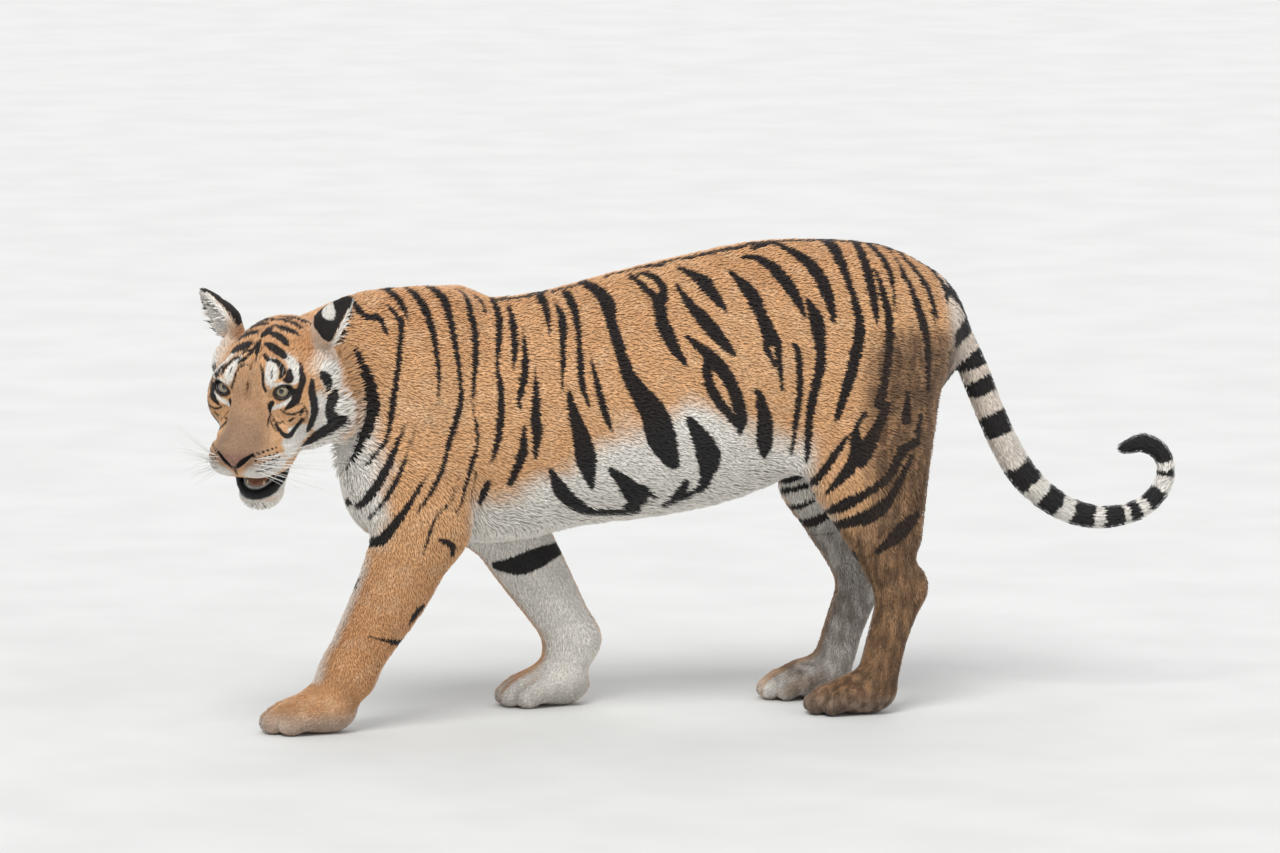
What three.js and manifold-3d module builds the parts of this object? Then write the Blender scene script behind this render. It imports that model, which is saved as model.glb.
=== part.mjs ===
// Bengal tiger, life size, caught in mid walk with its head turned to its left.
//
// The whole outline, out to the tips of the coat, is one smooth field of distance: rounded limbs
// ("chains") and rounded masses ("balls") that melt into each other. Each named piece is the surface of
// that field inside its own region, parted from its neighbours by flat cuts a hair's breadth wide.
//
// Millimetres, +Z up, floor at Z = 0. The tiger walks towards -X, and its left side faces -Y.

import * as THREE from "three";
import { mergeVertices } from "three/addons/utils/BufferGeometryUtils.js";
import ManifoldModule from "manifold-3d";

const wasm = await ManifoldModule();
wasm.setup();

const { Manifold, Mesh: SolidMesh } = wasm;
const vec = (x, y, z) => new THREE.Vector3(x, y, z);
const LEFT = -1;
const RIGHT = 1;

// ---------------------------------------------------------------- driving dimensions

const GAP = 0.4; // width of every parting cut
const HUGE = 6000; // a cutter larger than the tiger

const HEAD_YAW = 37; // degrees from straight left towards straight ahead
const HEAD_PITCH = 27; // nose down
const HEAD_ROLL = -1.3;
const BETWEEN_EYES = vec(-904.6, -268.2, 742.8);
const EYE = { forward: -15, side: 64, up: -7, radius: 19, facets: 12 };
const LID_OPENING = { forward: 22, halfSizes: [24, 19, 13] };

// A station of a chain is [x, y, z, radius, width ratio]; the width ratio flattens it sideways.
const TRUNK = [
  [-500, 0, 665, 150, 0.66],
  [-435, 0, 648, 236, 0.61],
  [-347, 0, 634, 262, 0.63],
  [-195, 0, 655, 256, 0.68],
  [-22, 0, 684, 268, 0.7],
  [108, 0, 710, 270, 0.68],
  [238, 0, 750, 255, 0.64],
  [340, 0, 788, 220, 0.62],
  [455, 0, 805, 192, 0.62],
  [520, 0, 800, 168, 0.64],
];
const NECK = [
  [-500, 0, 760, 165, 0.85],
  [-590, -10, 755, 165, 0.8],
  [-680, -38, 762, 132, 0.88],
  [-775, -102, 756, 110, 0.95],
];
const THROAT = [
  [-560, -10, 600, 90, 0.9],
  [-590, -30, 660, 76, 0.95],
];
const TAIL = [
  [560, 0, 880, 60],
  [622, 0, 862, 44],
  [664, 0, 800, 38],
  [706, 0, 722, 34],
  [740, 0, 640, 33],
  [776, 0, 560, 33],
  [820, 0, 487, 33],
  [876, 0, 434, 31],
  [936, 0, 402, 29],
  [1004, 0, 390, 26],
  [1072, 0, 403, 24],
  [1114, 0, 433, 23],
  [1136, 0, 475, 22],
  [1128, 0, 522, 22],
  [1090, 0, 548, 23],
  [1048, 0, 540, 17],
];
const TAIL_LENGTHS = 6;
const TAIL_SIDES = 9;
const TAIL_CUT = 0.16; // share of the tail that belongs to the rump

// Forelegs: the left one is at the end of its reach, the right one at the start of its push.
const FORELEGS = {
  left: {
    side: LEFT,
    shoulder: -612,
    arm: [[-602, 122, 585, 96, 0.6], [-555, 138, 510, 112, 0.58], [-515, 143, 440, 100, 0.64]],
    forearm: [
      [-520, 440, 96, 0.66],
      [-545, 384, 90, 0.7],
      [-585, 295, 80, 0.78],
      [-646, 190, 65, 0.9],
      [-680, 125, 59, 1],
    ],
    knuckle: [-722, 66],
    paw: [-745, 142],
  },
  right: {
    side: RIGHT,
    shoulder: -560,
    arm: [[-552, 122, 585, 96, 0.6], [-450, 138, 510, 108, 0.58], [-338, 143, 435, 92, 0.64]],
    forearm: [
      [-325, 440, 90, 0.66],
      [-285, 384, 84, 0.72],
      [-230, 295, 75, 0.8],
      [-172, 200, 62, 0.92],
      [-140, 140, 58, 1],
    ],
    knuckle: [-165, 70],
    paw: [-185, 140],
  },
};
const HIND_LEGS = {
  left: {
    side: LEFT,
    hip: [455, 780],
    knee: [412, 505],
    hock: [519, 264],
    ankle: [468, 62],
    paw: [432, 120],
  },
  right: {
    side: RIGHT,
    hip: [450, 780],
    knee: [396, 474],
    hock: [488, 264],
    ankle: [425, 62],
    paw: [382, 120],
  },
};

// Cut heights and cell sizes, chosen so that the curves read well with few facets.
const ELBOW_CUT = 425;
const WRIST_CUT = 132;
const FORELEG_INNER_CUT = 78;
const KNEE_CUT = 430;
const HOCK_CUT = 300;
const THIGH_CUT = { x: 330, z: 500, slope: 27.4 };
const SHOULDER_CUT = -225;
const RUMP_CUT = 235;
const HEAD_CUT = -172; // behind the eyes, in the head's own frame
const JAW_CUT = { forward: -18, up: -152, slope: -10 };
const EAR_CUT = 12; // above the middle of the ear's base
const JAW_BOX = { middle: [40, 0, -210], reach: 150 };
const EAR_BOX = { height: 50, reach: 95 };
const TONGUE_PLAY = 4; // all round the tongue, where it lies in the jaw
const PASTERN_CUT = 100;
const BUTTOCK_X = 640;
const TAIL_RING_STEP = 3;

// The boxes that the large regions are meshed in, as low and high corners.
const OVERLAP = 60; // how far a region's box runs past its cuts
const FLANK = 270; // half the width of every box along the trunk
const CROWN = 1010;
const REGION = {
  head: [[-1090, -470, 480], [-640, 30, 970]],
  neck: [[-960, -330, 480], [-480, 200, CROWN]],
  shoulders: [[-720, -FLANK, 330], [SHOULDER_CUT + OVERLAP, FLANK, CROWN]],
  trunk: [[SHOULDER_CUT - OVERLAP, -FLANK, 340], [RUMP_CUT + OVERLAP, FLANK, CROWN]],
  hindquarters: [[RUMP_CUT - OVERLAP, -FLANK, 380], [780, FLANK, CROWN]],
};

// Grid cells that each region is meshed with, finest where the form is finest.
const CELL = {
  head: [36, 32, 32],
  jaw: [28, 26, 26],
  tongue: [12, 12, 9],
  ear: [16, 16, 16],
  neck: [54, 52, 54],
  shoulders: [74, 54, 70],
  trunk: [100, 58, 70],
  hindquarters: [74, 54, 64],
  foreleg: [38, 35, 74],
  thigh: [42, 38, 56],
  shank: [35, 32, 54],
  hock: [31, 28, 58],
  paw: [28, 26, 24],
};

// ---------------------------------------------------------------- the head's own frame

// Axes of the head: forward along the muzzle, its left, and up.
function headAxes() {
  const yaw = THREE.MathUtils.degToRad(HEAD_YAW);
  const pitch = THREE.MathUtils.degToRad(HEAD_PITCH);
  const forward = vec(
    -Math.sin(yaw) * Math.cos(pitch),
    -Math.cos(yaw) * Math.cos(pitch),
    -Math.sin(pitch),
  );
  const level = vec(Math.cos(yaw), -Math.sin(yaw), 0);
  const left = level.clone().applyAxisAngle(forward, THREE.MathUtils.degToRad(HEAD_ROLL));
  const up = forward.clone().cross(left);
  return { forward, left, up };
}

const HEAD = headAxes();

function headDirection(forward, left, up) {
  return vec(0, 0, 0)
    .addScaledVector(HEAD.forward, forward)
    .addScaledVector(HEAD.left, left)
    .addScaledVector(HEAD.up, up);
}

// A point given as forward, left and up from between the eyes.
function onHead(forward, left, up) {
  return headDirection(forward, left, up).add(BETWEEN_EYES);
}

// ---------------------------------------------------------------- masses of the field

const smoothMin = (a, b, blend) => {
  const h = Math.max(blend - Math.abs(a - b), 0) / blend;
  return Math.min(a, b) - h * h * blend * 0.25;
};
const smoothMax = (a, b, blend) => -smoothMin(-a, -b, blend);

// Smooth curve through the stations, with every number of a station interpolated alike.
function throughStations(stations, steps) {
  const full = stations.map((s) => (s.length === 4 ? [...s, 1] : s));
  const first = full[0].map((v, i) => 2 * v - full[1][i]);
  const last = full.at(-1).map((v, i) => 2 * v - full.at(-2)[i]);
  const all = [first, ...full, last];
  const points = [];
  for (let i = 1; i < all.length - 2; i++) {
    for (let step = 0; step < steps; step++) {
      const t = step / steps;
      points.push(
        all[i].map((p1, k) => {
          const [p0, p2, p3] = [all[i - 1][k], all[i + 1][k], all[i + 2][k]];
          return (
            0.5 *
            (2 * p1 + (p2 - p0) * t + (2 * p0 - 5 * p1 + 4 * p2 - p3) * t * t +
              (3 * p1 - p0 - 3 * p2 + p3) * t * t * t)
          );
        }),
      );
    }
  }
  points.push(full.at(-1));
  return points;
}

// A limb: a tapering tube along its stations, flattened across "side", narrower on top by "pear".
function chain(stations, blend, { side = vec(0, 1, 0), pear = 0, steps = 3 } = {}) {
  const points = throughStations(stations, steps);
  const across = side.clone().normalize();
  const distance = (p) => {
    let nearest = Infinity;
    for (let i = 0; i < points.length - 1; i++) {
      const [a, b] = [points[i], points[i + 1]];
      const [dx, dy, dz] = [b[0] - a[0], b[1] - a[1], b[2] - a[2]];
      const along = (p.x - a[0]) * dx + (p.y - a[1]) * dy + (p.z - a[2]) * dz;
      const t = THREE.MathUtils.clamp(along / (dx * dx + dy * dy + dz * dz), 0, 1);
      const radius = a[3] + t * (b[3] - a[3]);
      const [x, y, z] = [p.x - a[0] - t * dx, p.y - a[1] - t * dy, p.z - a[2] - t * dz];
      const lateral = x * across.x + y * across.y + z * across.z;
      const taper = 1 - pear * THREE.MathUtils.clamp(z / radius, -1, 1);
      const width = (a[4] + t * (b[4] - a[4])) * taper;
      const square = x * x + y * y + z * z;
      const stretched = Math.sqrt(square - lateral ** 2 + (lateral / width) ** 2) + 1e-9;
      nearest = Math.min(nearest, ((stretched - radius) * Math.sqrt(square)) / stretched);
    }
    return nearest;
  };
  const reach = Math.max(...points.map((q) => q[3] * Math.max(1, q[4]))) + blend;
  const box = new THREE.Box3().setFromPoints(points.map((q) => vec(...q.slice(0, 3))));
  return { distance, blend, box: box.expandByScalar(reach) };
}

// A mass: an ellipsoid with half sizes along the given axes.
function ball(centre, halfSizes, blend, axes = [vec(1, 0, 0), vec(0, 1, 0), vec(0, 0, 1)]) {
  const distance = (p) => {
    const offset = p.clone().sub(centre);
    let [near, far] = [0, 0];
    axes.forEach((axis, i) => {
      const q = offset.dot(axis);
      near += (q / halfSizes[i]) ** 2;
      far += (q / halfSizes[i] ** 2) ** 2;
    });
    const k = Math.sqrt(near) + 1e-9;
    return (k * (k - 1)) / (Math.sqrt(far) + 1e-9);
  };
  const box = new THREE.Box3().setFromPoints([centre.clone()]);
  return { distance, blend, box: box.expandByScalar(Math.max(...halfSizes) + blend) };
}

const headBall = (at, halfSizes, blend) =>
  ball(onHead(...at), halfSizes, blend, [HEAD.forward, HEAD.left, HEAD.up]);

const headChain = (stations, blend, extra = {}) =>
  chain(
    stations.map(([f, l, u, ...rest]) => [...onHead(f, l, u).toArray(), ...rest]),
    blend,
    { side: HEAD.left, steps: 2, ...extra },
  );

// ---------------------------------------------------------------- trunk, neck and tail

function trunkMasses() {
  const masses = [
    chain(TRUNK, 60, { pear: 0.1 }),
    chain(NECK, 60),
    chain(THROAT, 60),
    ball(vec(-560, -5, 580), [100, 125, 160], 45),
    ball(vec(-572, -12, 500), [92, 118, 110], 45),
    chain(TAIL, 25),
    chain([[240, -90, 600, 60, 0.6], [305, -116, 560, 45, 0.5]], 60),
    chain([[230, 90, 600, 60, 0.6], [275, 116, 560, 45, 0.5]], 60),
  ];
  for (const side of [LEFT, RIGHT]) {
    const pelvis = [[330, 62, 885, 82, 0.9], [460, 68, 875, 96, 0.85], [555, 62, 800, 96, 0.85]];
    masses.push(chain(sided(pelvis, side), 60));
  }
  return masses;
}

// Stations given for the right side, mirrored for the left one.
const sided = (stations, side) => stations.map(([x, y, ...rest]) => [x, side * y, ...rest]);

// ---------------------------------------------------------------- legs

function foreleg({ side, shoulder, arm, forearm, knuckle, paw }) {
  const scapula = [
    [shoulder + 150, 58, 850, 62, 0.75],
    [shoulder + 95, 92, 765, 98, 0.6],
    [shoulder + 35, 114, 665, 115, 0.52],
    [shoulder + 10, 120, 590, 98, 0.6],
  ];
  const [wristX, wristZ, wristRadius] = forearm.at(-1);
  const pastern = [
    [wristX, 141, wristZ, wristRadius - 2, 0.98],
    [knuckle[0], 141, knuckle[1], 50, 1.08],
  ];
  return [
    chain(sided(scapula, side), 55),
    chain(sided(arm, side), 45),
    chain(sided(forearm.map(([x, ...rest]) => [x, 143, ...rest]), side), 30),
    chain(sided(pastern, side), 25, { steps: 2 }),
    ...pawMasses(paw, side, 5, 1),
  ];
}

function hindLeg({ side, hip, knee, hock, ankle, paw }) {
  const between = (a, b, t) => [a[0] + t * (b[0] - a[0]), a[1] + t * (b[1] - a[1])];
  const midThigh = between(hip, knee, 0.45);
  const midHam = between(hip, hock, 0.5);
  const midShank = between(knee, hock, 0.4);
  const lowShank = between(knee, hock, 0.75);
  const midFoot = between(hock, ankle, 0.5);
  const thigh = [
    [hip[0] + 5, 78, hip[1], 132, 0.6],
    [midThigh[0] + 12, 104, midThigh[1], 140, 0.52],
    [knee[0] + 14, 122, knee[1] + 8, 96, 0.62],
  ];
  const ham = [
    [hip[0] + 75, 72, hip[1] - 10, 80, 0.85],
    [midHam[0] + 32, 98, midHam[1] + 40, 74, 0.8],
    [hock[0] - 2, 114, hock[1] + 120, 54, 0.72],
  ];
  const shank = [
    [knee[0], 124, knee[1], 84, 0.68],
    [midShank[0], 124, midShank[1], 70, 0.72],
    [lowShank[0], 119, lowShank[1] + 6, 60, 0.74],
    [hock[0], 116, hock[1], 54, 0.8],
  ];
  const foot = [
    [hock[0] + 6, 116, hock[1] - 5, 51, 0.84],
    [midFoot[0], 117, midFoot[1], 44, 1],
    [ankle[0], 119, ankle[1], 44, 1.15],
  ];
  const heel = vec(hock[0] + 26, side * 115, hock[1] + 12);
  return [
    chain(sided(thigh, side), 50),
    chain(sided(ham, side), 50),
    chain(sided(shank, side), 30),
    chain(sided(foot, side), 20),
    ball(heel, [32, 26, 36], 20),
    ...pawMasses(paw, side, 4, 0.88),
  ];
}

// A paw is a low pad and four toes, turned out by "heading" degrees.
function pawMasses([x, y], side, heading, width) {
  const turn = THREE.MathUtils.degToRad(heading);
  const [cos, sin] = [Math.cos(turn), Math.sin(turn)];
  const at = (f, l, z) => [x - f * cos - l * sin * side, side * (y + l * cos) - f * sin * side, z];
  const toes = [[46, -45], [74, -17], [76, 17], [48, 47]];
  return [
    ball(vec(...at(0, 0, 42)), [80 * width, 64 * width, 46], 30),
    ...toes.map(([f, l]) => {
      const toe = [
        [...at(f - 45, l * 0.8, 48), 28 * width],
        [...at(f - 6, l * width, 38), 29 * width],
        [...at(f + 22, l * width, 22), 25 * width],
      ];
      return chain(toe, 12, { steps: 2 });
    }),
  ];
}

// ---------------------------------------------------------------- head

function headMasses() {
  const masses = [
    headBall([-98, 0, -12], [112, 98, 84], 35), // skull
    headBall([-165, 0, -14], [80, 92, 72], 50), // nape
    headBall([-38, 0, 0], [56, 68, 44], 30), // forehead
    headChain([[-20, 0, -28, 50], [40, 0, -60, 47], [92, 0, -92, 44]], 22), // bridge of the nose
    headBall([58, 0, -108], [74, 66, 48], 22), // muzzle
    headBall([60, 0, -220], [38, 44, 32], 14), // chin
    headBall([116, 0, -88], [20, 30, 24], 8), // nose
  ];
  for (const side of [-1, 1]) {
    masses.push(
      headBall([-30, side * 62, 12], [36, 32, 22], 18), // brow
      headBall([86, side * 37, -110], [46, 41, 38], 14), // whisker pad
      headBall([26, side * 56, -118], [66, 32, 50], 26), // flew
      headBall([-66, side * 80, -52], [84, 52, 66], 34), // cheek
      headBall([-92, side * 74, -110], [74, 62, 78], 34), // jaw muscle
      headBall([-116, side * 106, -112], [50, 54, 90], 30), // ruff
      headBall([-122, side * 112, -30], [44, 36, 58], 30), // hair before the ear
      headBall([-95, side * 60, -142], [56, 44, 58], 28), // jowl
      headChain([[-90, side * 50, -138, 34], [-10, side * 37, -176, 31], [46, side * 20, -213, 31]], 22),
    );
  }
  return masses;
}

const TONGUE = [[-8, 0, -170, 9, 2.4], [40, 0, -180, 10, 2.5], [72, 0, -188, 9, 2.2]];

// Each ear stands on its own base, rises along "up" and opens towards "open".
const EARS = {
  left: { base: [-156, 110, 43], up: [-0.355, 0.6, 0.72], open: [-0.42, 0.84, -0.3] },
  right: { base: [-169, -122, 32], up: [-0.34, -0.63, 0.7], open: [0.85, -0.48, -0.25] },
};

function earFrame({ base, up, open }) {
  const rise = headDirection(...up).normalize();
  const facing = headDirection(...open);
  facing.addScaledVector(rise, -facing.dot(rise)).normalize();
  const across = facing.clone().cross(rise);
  return { base: onHead(...base), rise, across, facing };
}

// A cupped leaf: an outer egg less a smaller one moved towards the opening.
function earMass(ear) {
  const { base, rise, across, facing } = earFrame(ear);
  const axes = [rise, across, facing];
  const centre = base.clone().addScaledVector(rise, 40);
  const hollow = centre.clone().addScaledVector(facing, 20).addScaledVector(rise, -3);
  const outer = ball(centre, [68, 48, 30], 16, axes);
  const inner = ball(hollow, [57, 39, 32], 0, axes);
  return { ...outer, distance: (p) => smoothMax(outer.distance(p), -inner.distance(p), 5) };
}

// ---------------------------------------------------------------- the whole field

const MASSES = [
  ...trunkMasses(),
  ...Object.values(FORELEGS).flatMap(foreleg),
  ...Object.values(HIND_LEGS).flatMap(hindLeg),
  ...headMasses(),
  ...Object.values(EARS).map(earMass),
];
const HOLLOWS = [
  headBall([62, 0, -162], [68, 42, 22], 8), // mouth
  headBall([8, EYE.side + 2, EYE.up + 2], [20, 23, 16], 8), // eye sockets
  headBall([8, -EYE.side - 2, EYE.up + 2], [20, 23, 16], 8),
];

function bodyDistance(p) {
  let distance = 200;
  for (const mass of MASSES) {
    if (mass.box.containsPoint(p)) distance = smoothMin(distance, mass.distance(p), mass.blend);
  }
  for (const hollow of HOLLOWS) {
    if (hollow.box.containsPoint(p)) distance = smoothMax(distance, -hollow.distance(p), hollow.blend);
  }
  return distance;
}

// ---------------------------------------------------------------- meshing and cutting

// A grid cell's corners as (0 or 1) triples, and the edges that leave each low corner along an axis.
const CORNERS = [0, 1, 2, 3, 4, 5, 6, 7].map((c) => [c >> 2, (c >> 1) & 1, c & 1]);
const cornerNumber = ([x, y, z]) => x * 4 + y * 2 + z;
const edgeNumber = (axis, corner) => axis * 8 + cornerNumber(corner);
const EDGES = CORNERS.flatMap((low) =>
  [0, 1, 2]
    .filter((axis) => !low[axis])
    .map((axis) => ({ axis, low, high: low.map((c, m) => (m === axis ? 1 : c)) })),
);
const FACES = [0, 1, 2].flatMap((axis) =>
  [0, 1].map((level) =>
    [[0, 0], [1, 0], [1, 1], [0, 1]].map(([u, v]) => {
      const corner = [0, 0, 0];
      corner[axis] = level;
      corner[(axis + 1) % 3] = u;
      corner[(axis + 2) % 3] = v;
      return corner;
    }),
  ),
);

function edgeBetween(a, b) {
  const axis = a.findIndex((c, m) => c !== b[m]);
  return edgeNumber(axis, a[axis] ? b : a);
}

// The separate sheets of surface in a cell: a map from each crossed edge to its sheet's number.
// On a face with two inside corners across a diagonal, each corner keeps a sheet of its own.
const sheetsOfCell = (() => {
  const known = new Map();
  return (insideBits) => {
    if (known.has(insideBits)) return known.get(insideBits);
    const isInside = (corner) => (insideBits >> cornerNumber(corner)) & 1;
    const sheet = new Map();
    EDGES.forEach(({ axis, low, high }) => {
      if (isInside(low) !== isInside(high)) sheet.set(edgeNumber(axis, low), sheet.size);
    });
    const join = (a, b) => {
      const [from, to] = [sheet.get(a), sheet.get(b)];
      sheet.forEach((number, edge) => number === from && sheet.set(edge, to));
    };
    for (const face of FACES) {
      const sides = face.map((corner, i) => [corner, face[(i + 1) % 4]]);
      const crossed = sides.filter(([a, b]) => isInside(a) !== isInside(b));
      if (crossed.length === 2) join(...crossed.map(([a, b]) => edgeBetween(a, b)));
      if (crossed.length === 4)
        face.forEach((corner, i) => {
          if (!isInside(corner)) return;
          join(edgeBetween(corner, face[(i + 1) % 4]), edgeBetween(corner, face[(i + 3) % 4]));
        });
    }
    known.set(insideBits, sheet);
    return sheet;
  };
})();

// Distances at the nodes of a grid over a box, with one layer round it that is always outside.
function sampleGrid(distance, box, step) {
  const counts = box.getSize(vec(0, 0, 0)).toArray().map((length, i) => Math.ceil(length / step[i]) + 3);
  const at = (i, j, k) =>
    vec(box.min.x + (i - 1) * step[0], box.min.y + (j - 1) * step[1], box.min.z + (k - 1) * step[2]);
  const index = (i, j, k) => (i * counts[1] + j) * counts[2] + k;
  const values = new Float64Array(counts[0] * counts[1] * counts[2]);
  const onRim = (...node) => node.some((n, m) => n === 0 || n === counts[m] - 1);
  forEachNode([0, 0, 0], counts, (i, j, k) => {
    values[index(i, j, k)] = onRim(i, j, k) ? step[0] : distance(at(i, j, k));
  });
  return { counts, at, index, value: (i, j, k) => values[index(i, j, k)] };
}

function forEachNode([i0, j0, k0], [i1, j1, k1], visit) {
  for (let i = i0; i < i1; i++)
    for (let j = j0; j < j1; j++) for (let k = k0; k < k1; k++) visit(i, j, k);
}

// The field's zero surface inside a box: one vertex for each sheet in each grid cell, pulled onto the
// surface, and one quad round each grid edge that crosses it.
function surface(distance, box, step) {
  const { counts, at, index, value } = sampleGrid(distance, box, step);
  const vertices = [];
  const vertexAt = new Map();
  forEachNode([0, 0, 0], counts.map((n) => n - 1), (i, j, k) => {
    const values = CORNERS.map(([x, y, z]) => value(i + x, j + y, k + z));
    const insideBits = values.reduce((bits, v, c) => bits | ((v < 0) << c), 0);
    if (insideBits === 0 || insideBits === 255) return;
    const crossings = new Map();
    const sheets = sheetsOfCell(insideBits);
    for (const { axis, low, high } of EDGES) {
      const edge = edgeNumber(axis, low);
      if (!sheets.has(edge)) continue;
      const [a, b] = [values[cornerNumber(low)], values[cornerNumber(high)]];
      const spot = low.map((c, m) => (m === axis ? a / (a - b) : c));
      const sheet = sheets.get(edge);
      crossings.set(sheet, [...(crossings.get(sheet) ?? []), at(i + spot[0], j + spot[1], k + spot[2])]);
    }
    const numbers = new Map();
    crossings.forEach((points, sheet) => {
      const middle = points.reduce((sum, p) => sum.add(p), vec(0, 0, 0)).divideScalar(points.length);
      numbers.set(sheet, vertices.push(ontoSurface(distance, middle, box)) - 1);
    });
    sheets.forEach((sheet, edge) => vertexAt.set(index(i, j, k) * 24 + edge, numbers.get(sheet)));
  });

  const triangles = [];
  forEachNode([0, 0, 0], counts.map((n) => n - 1), (...node) => {
    for (let axis = 0; axis < 3; axis++) {
      const next = node.map((c, m) => (m === axis ? c + 1 : c));
      const inside = value(...node) < 0;
      if (inside === value(...next) < 0) continue;
      const around = [[1, 1], [0, 1], [0, 0], [1, 0]].map(([u, v]) => {
        const corner = [0, 0, 0];
        corner[(axis + 1) % 3] = u;
        corner[(axis + 2) % 3] = v;
        const cellNode = node.map((c, m) => c - corner[m]);
        return vertexAt.get(index(...cellNode) * 24 + edgeNumber(axis, corner));
      });
      if (!inside) around.reverse();
      triangles.push(...split(around, vertices));
    }
  });
  return solid(vertices, triangles);
}

// Cuts a quad along its shorter diagonal.
function split([a, b, c, d], vertices) {
  const shortAC = vertices[a].distanceTo(vertices[c]) < vertices[b].distanceTo(vertices[d]);
  return shortAC ? [a, b, c, a, c, d] : [a, b, d, b, c, d];
}

// Moves a point down the field's slope until it lies on the surface, where that is inside the box.
function ontoSurface(distance, start, box) {
  const point = start.clone();
  const reach = 0.5;
  for (let pass = 0; pass < 4; pass++) {
    const value = distance(point);
    const slope = vec(
      distance(point.clone().setX(point.x + reach)) - value,
      distance(point.clone().setY(point.y + reach)) - value,
      distance(point.clone().setZ(point.z + reach)) - value,
    ).divideScalar(reach);
    if (slope.lengthSq() < 0.04) return point;
    const move = THREE.MathUtils.clamp(-value / slope.lengthSq(), -12, 12);
    const moved = point.clone().addScaledVector(slope, move);
    if (!box.containsPoint(moved)) return point;
    point.copy(moved);
  }
  return point;
}

function solid(vertices, triangles) {
  return new Manifold(
    new SolidMesh({
      numProp: 3,
      vertProperties: new Float32Array(vertices.flatMap((v) => v.toArray())),
      triVerts: new Uint32Array(triangles),
    }),
  );
}

// Any closed three.js geometry as a solid.
function geometrySolid(geometry, matrix = new THREE.Matrix4()) {
  geometry.deleteAttribute("normal");
  geometry.deleteAttribute("uv");
  const merged = mergeVertices(geometry, 1e-3).applyMatrix4(matrix);
  const position = merged.getAttribute("position");
  const vertices = [];
  for (let i = 0; i < position.count; i++) vertices.push(vec(0, 0, 0).fromBufferAttribute(position, i));
  return solid(vertices, [...merged.index.array]);
}

// Everything on the side of a plane that its normal points to, beyond "margin".
function halfSpace(point, normal, margin = GAP / 2) {
  const direction = normal.clone().normalize();
  const turn = new THREE.Quaternion().setFromUnitVectors(vec(0, 0, 1), direction);
  const centre = point.clone().addScaledVector(direction, HUGE / 2 + margin);
  return geometrySolid(
    new THREE.BoxGeometry(HUGE, HUGE, HUGE),
    new THREE.Matrix4().compose(centre, turn, vec(1, 1, 1)),
  );
}

const opposite = (normal) => normal.clone().negate();
const keep = (shape, ...cutters) => cutters.reduce((left, cutter) => left.intersect(cutter), shape);
const remove = (shape, ...cutters) => cutters.reduce((left, cutter) => left.subtract(cutter), shape);

// The largest body of a solid; slivers that a cut leaves are dropped.
function mainBody(shape) {
  return shape.decompose().sort((a, b) => b.volume() - a.volume())[0];
}

function toMesh(name, shape, [r, g, b], roughness = 0.9) {
  const { numProp, vertProperties, triVerts } = shape.getMesh();
  if (numProp !== 3) throw new Error(name + " carries more than positions");
  const geometry = new THREE.BufferGeometry();
  geometry.setAttribute("position", new THREE.BufferAttribute(Float32Array.from(vertProperties), 3));
  geometry.setIndex(new THREE.BufferAttribute(Uint32Array.from(triVerts), 1));
  geometry.computeVertexNormals();
  const material = new THREE.MeshStandardMaterial({ roughness, metalness: 0 });
  material.color.setRGB(r, g, b, THREE.SRGBColorSpace);
  const mesh = new THREE.Mesh(geometry, material);
  mesh.name = name;
  return mesh;
}

const bounds = (x0, y0, z0, x1, y1, z1) => new THREE.Box3(vec(x0, y0, z0), vec(x1, y1, z1));
const body = (box, cell) => surface(bodyDistance, box, cell);
const bodyRegion = (name) => {
  const [low, high] = REGION[name];
  return body(bounds(...low, ...high), CELL[name]);
};

// ---------------------------------------------------------------- colours

const COAT = [0.76, 0.53, 0.34];
const PALE_COAT = [0.84, 0.77, 0.68];
const EAR_COAT = [0.3, 0.27, 0.25];
const TAIL_COAT = [0.66, 0.56, 0.47];
const IRIS = [0.45, 0.42, 0.28];
const TONGUE_FLESH = [0.55, 0.38, 0.3];

// ---------------------------------------------------------------- the cuts

const alongHead = HEAD.forward;
const headPlane = onHead(HEAD_CUT, 0, 0);
const neckPlane = vec(-600, -15, 740);
const alongNeck = vec(-0.85, -0.15, 0.5);

const tailPath = throughStations(TAIL, 6);
const tailPoint = (share) => vec(...tailPath[Math.round(share * (tailPath.length - 1))]);
const tailDirection = (share) => {
  const i = Math.round(share * (tailPath.length - 1));
  const [before, after] = [tailPath[Math.max(i - 1, 0)], tailPath[Math.min(i + 1, tailPath.length - 1)]];
  return vec(...after.slice(0, 3)).sub(vec(...before.slice(0, 3))).normalize();
};

// What belongs to a foreleg: below the elbow and outside the chest. "grow" moves the cut outwards.
function forelegRegion(side, grow) {
  return keep(
    halfSpace(vec(0, 0, ELBOW_CUT), vec(0, 0, -1), -grow),
    halfSpace(vec(0, side * FORELEG_INNER_CUT, 0), vec(0, side, 0), -grow),
  );
}

// What belongs to a hind leg: under a plane that rises from the flank to the buttock.
function hindLegRegion(side, grow) {
  const slope = THREE.MathUtils.degToRad(THIGH_CUT.slope);
  return keep(
    halfSpace(vec(THIGH_CUT.x, 0, THIGH_CUT.z), vec(Math.sin(slope), 0, -Math.cos(slope)), -grow),
    halfSpace(vec(0, 0, 0), vec(0, side, 0), -grow),
  );
}

function jawRegion(grow) {
  const slope = THREE.MathUtils.degToRad(JAW_CUT.slope);
  const corner = onHead(JAW_CUT.forward, 0, JAW_CUT.up);
  const down = headDirection(Math.sin(slope), 0, -Math.cos(slope));
  return keep(halfSpace(corner, down, -grow), halfSpace(corner, HEAD.forward, -grow));
}

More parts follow.
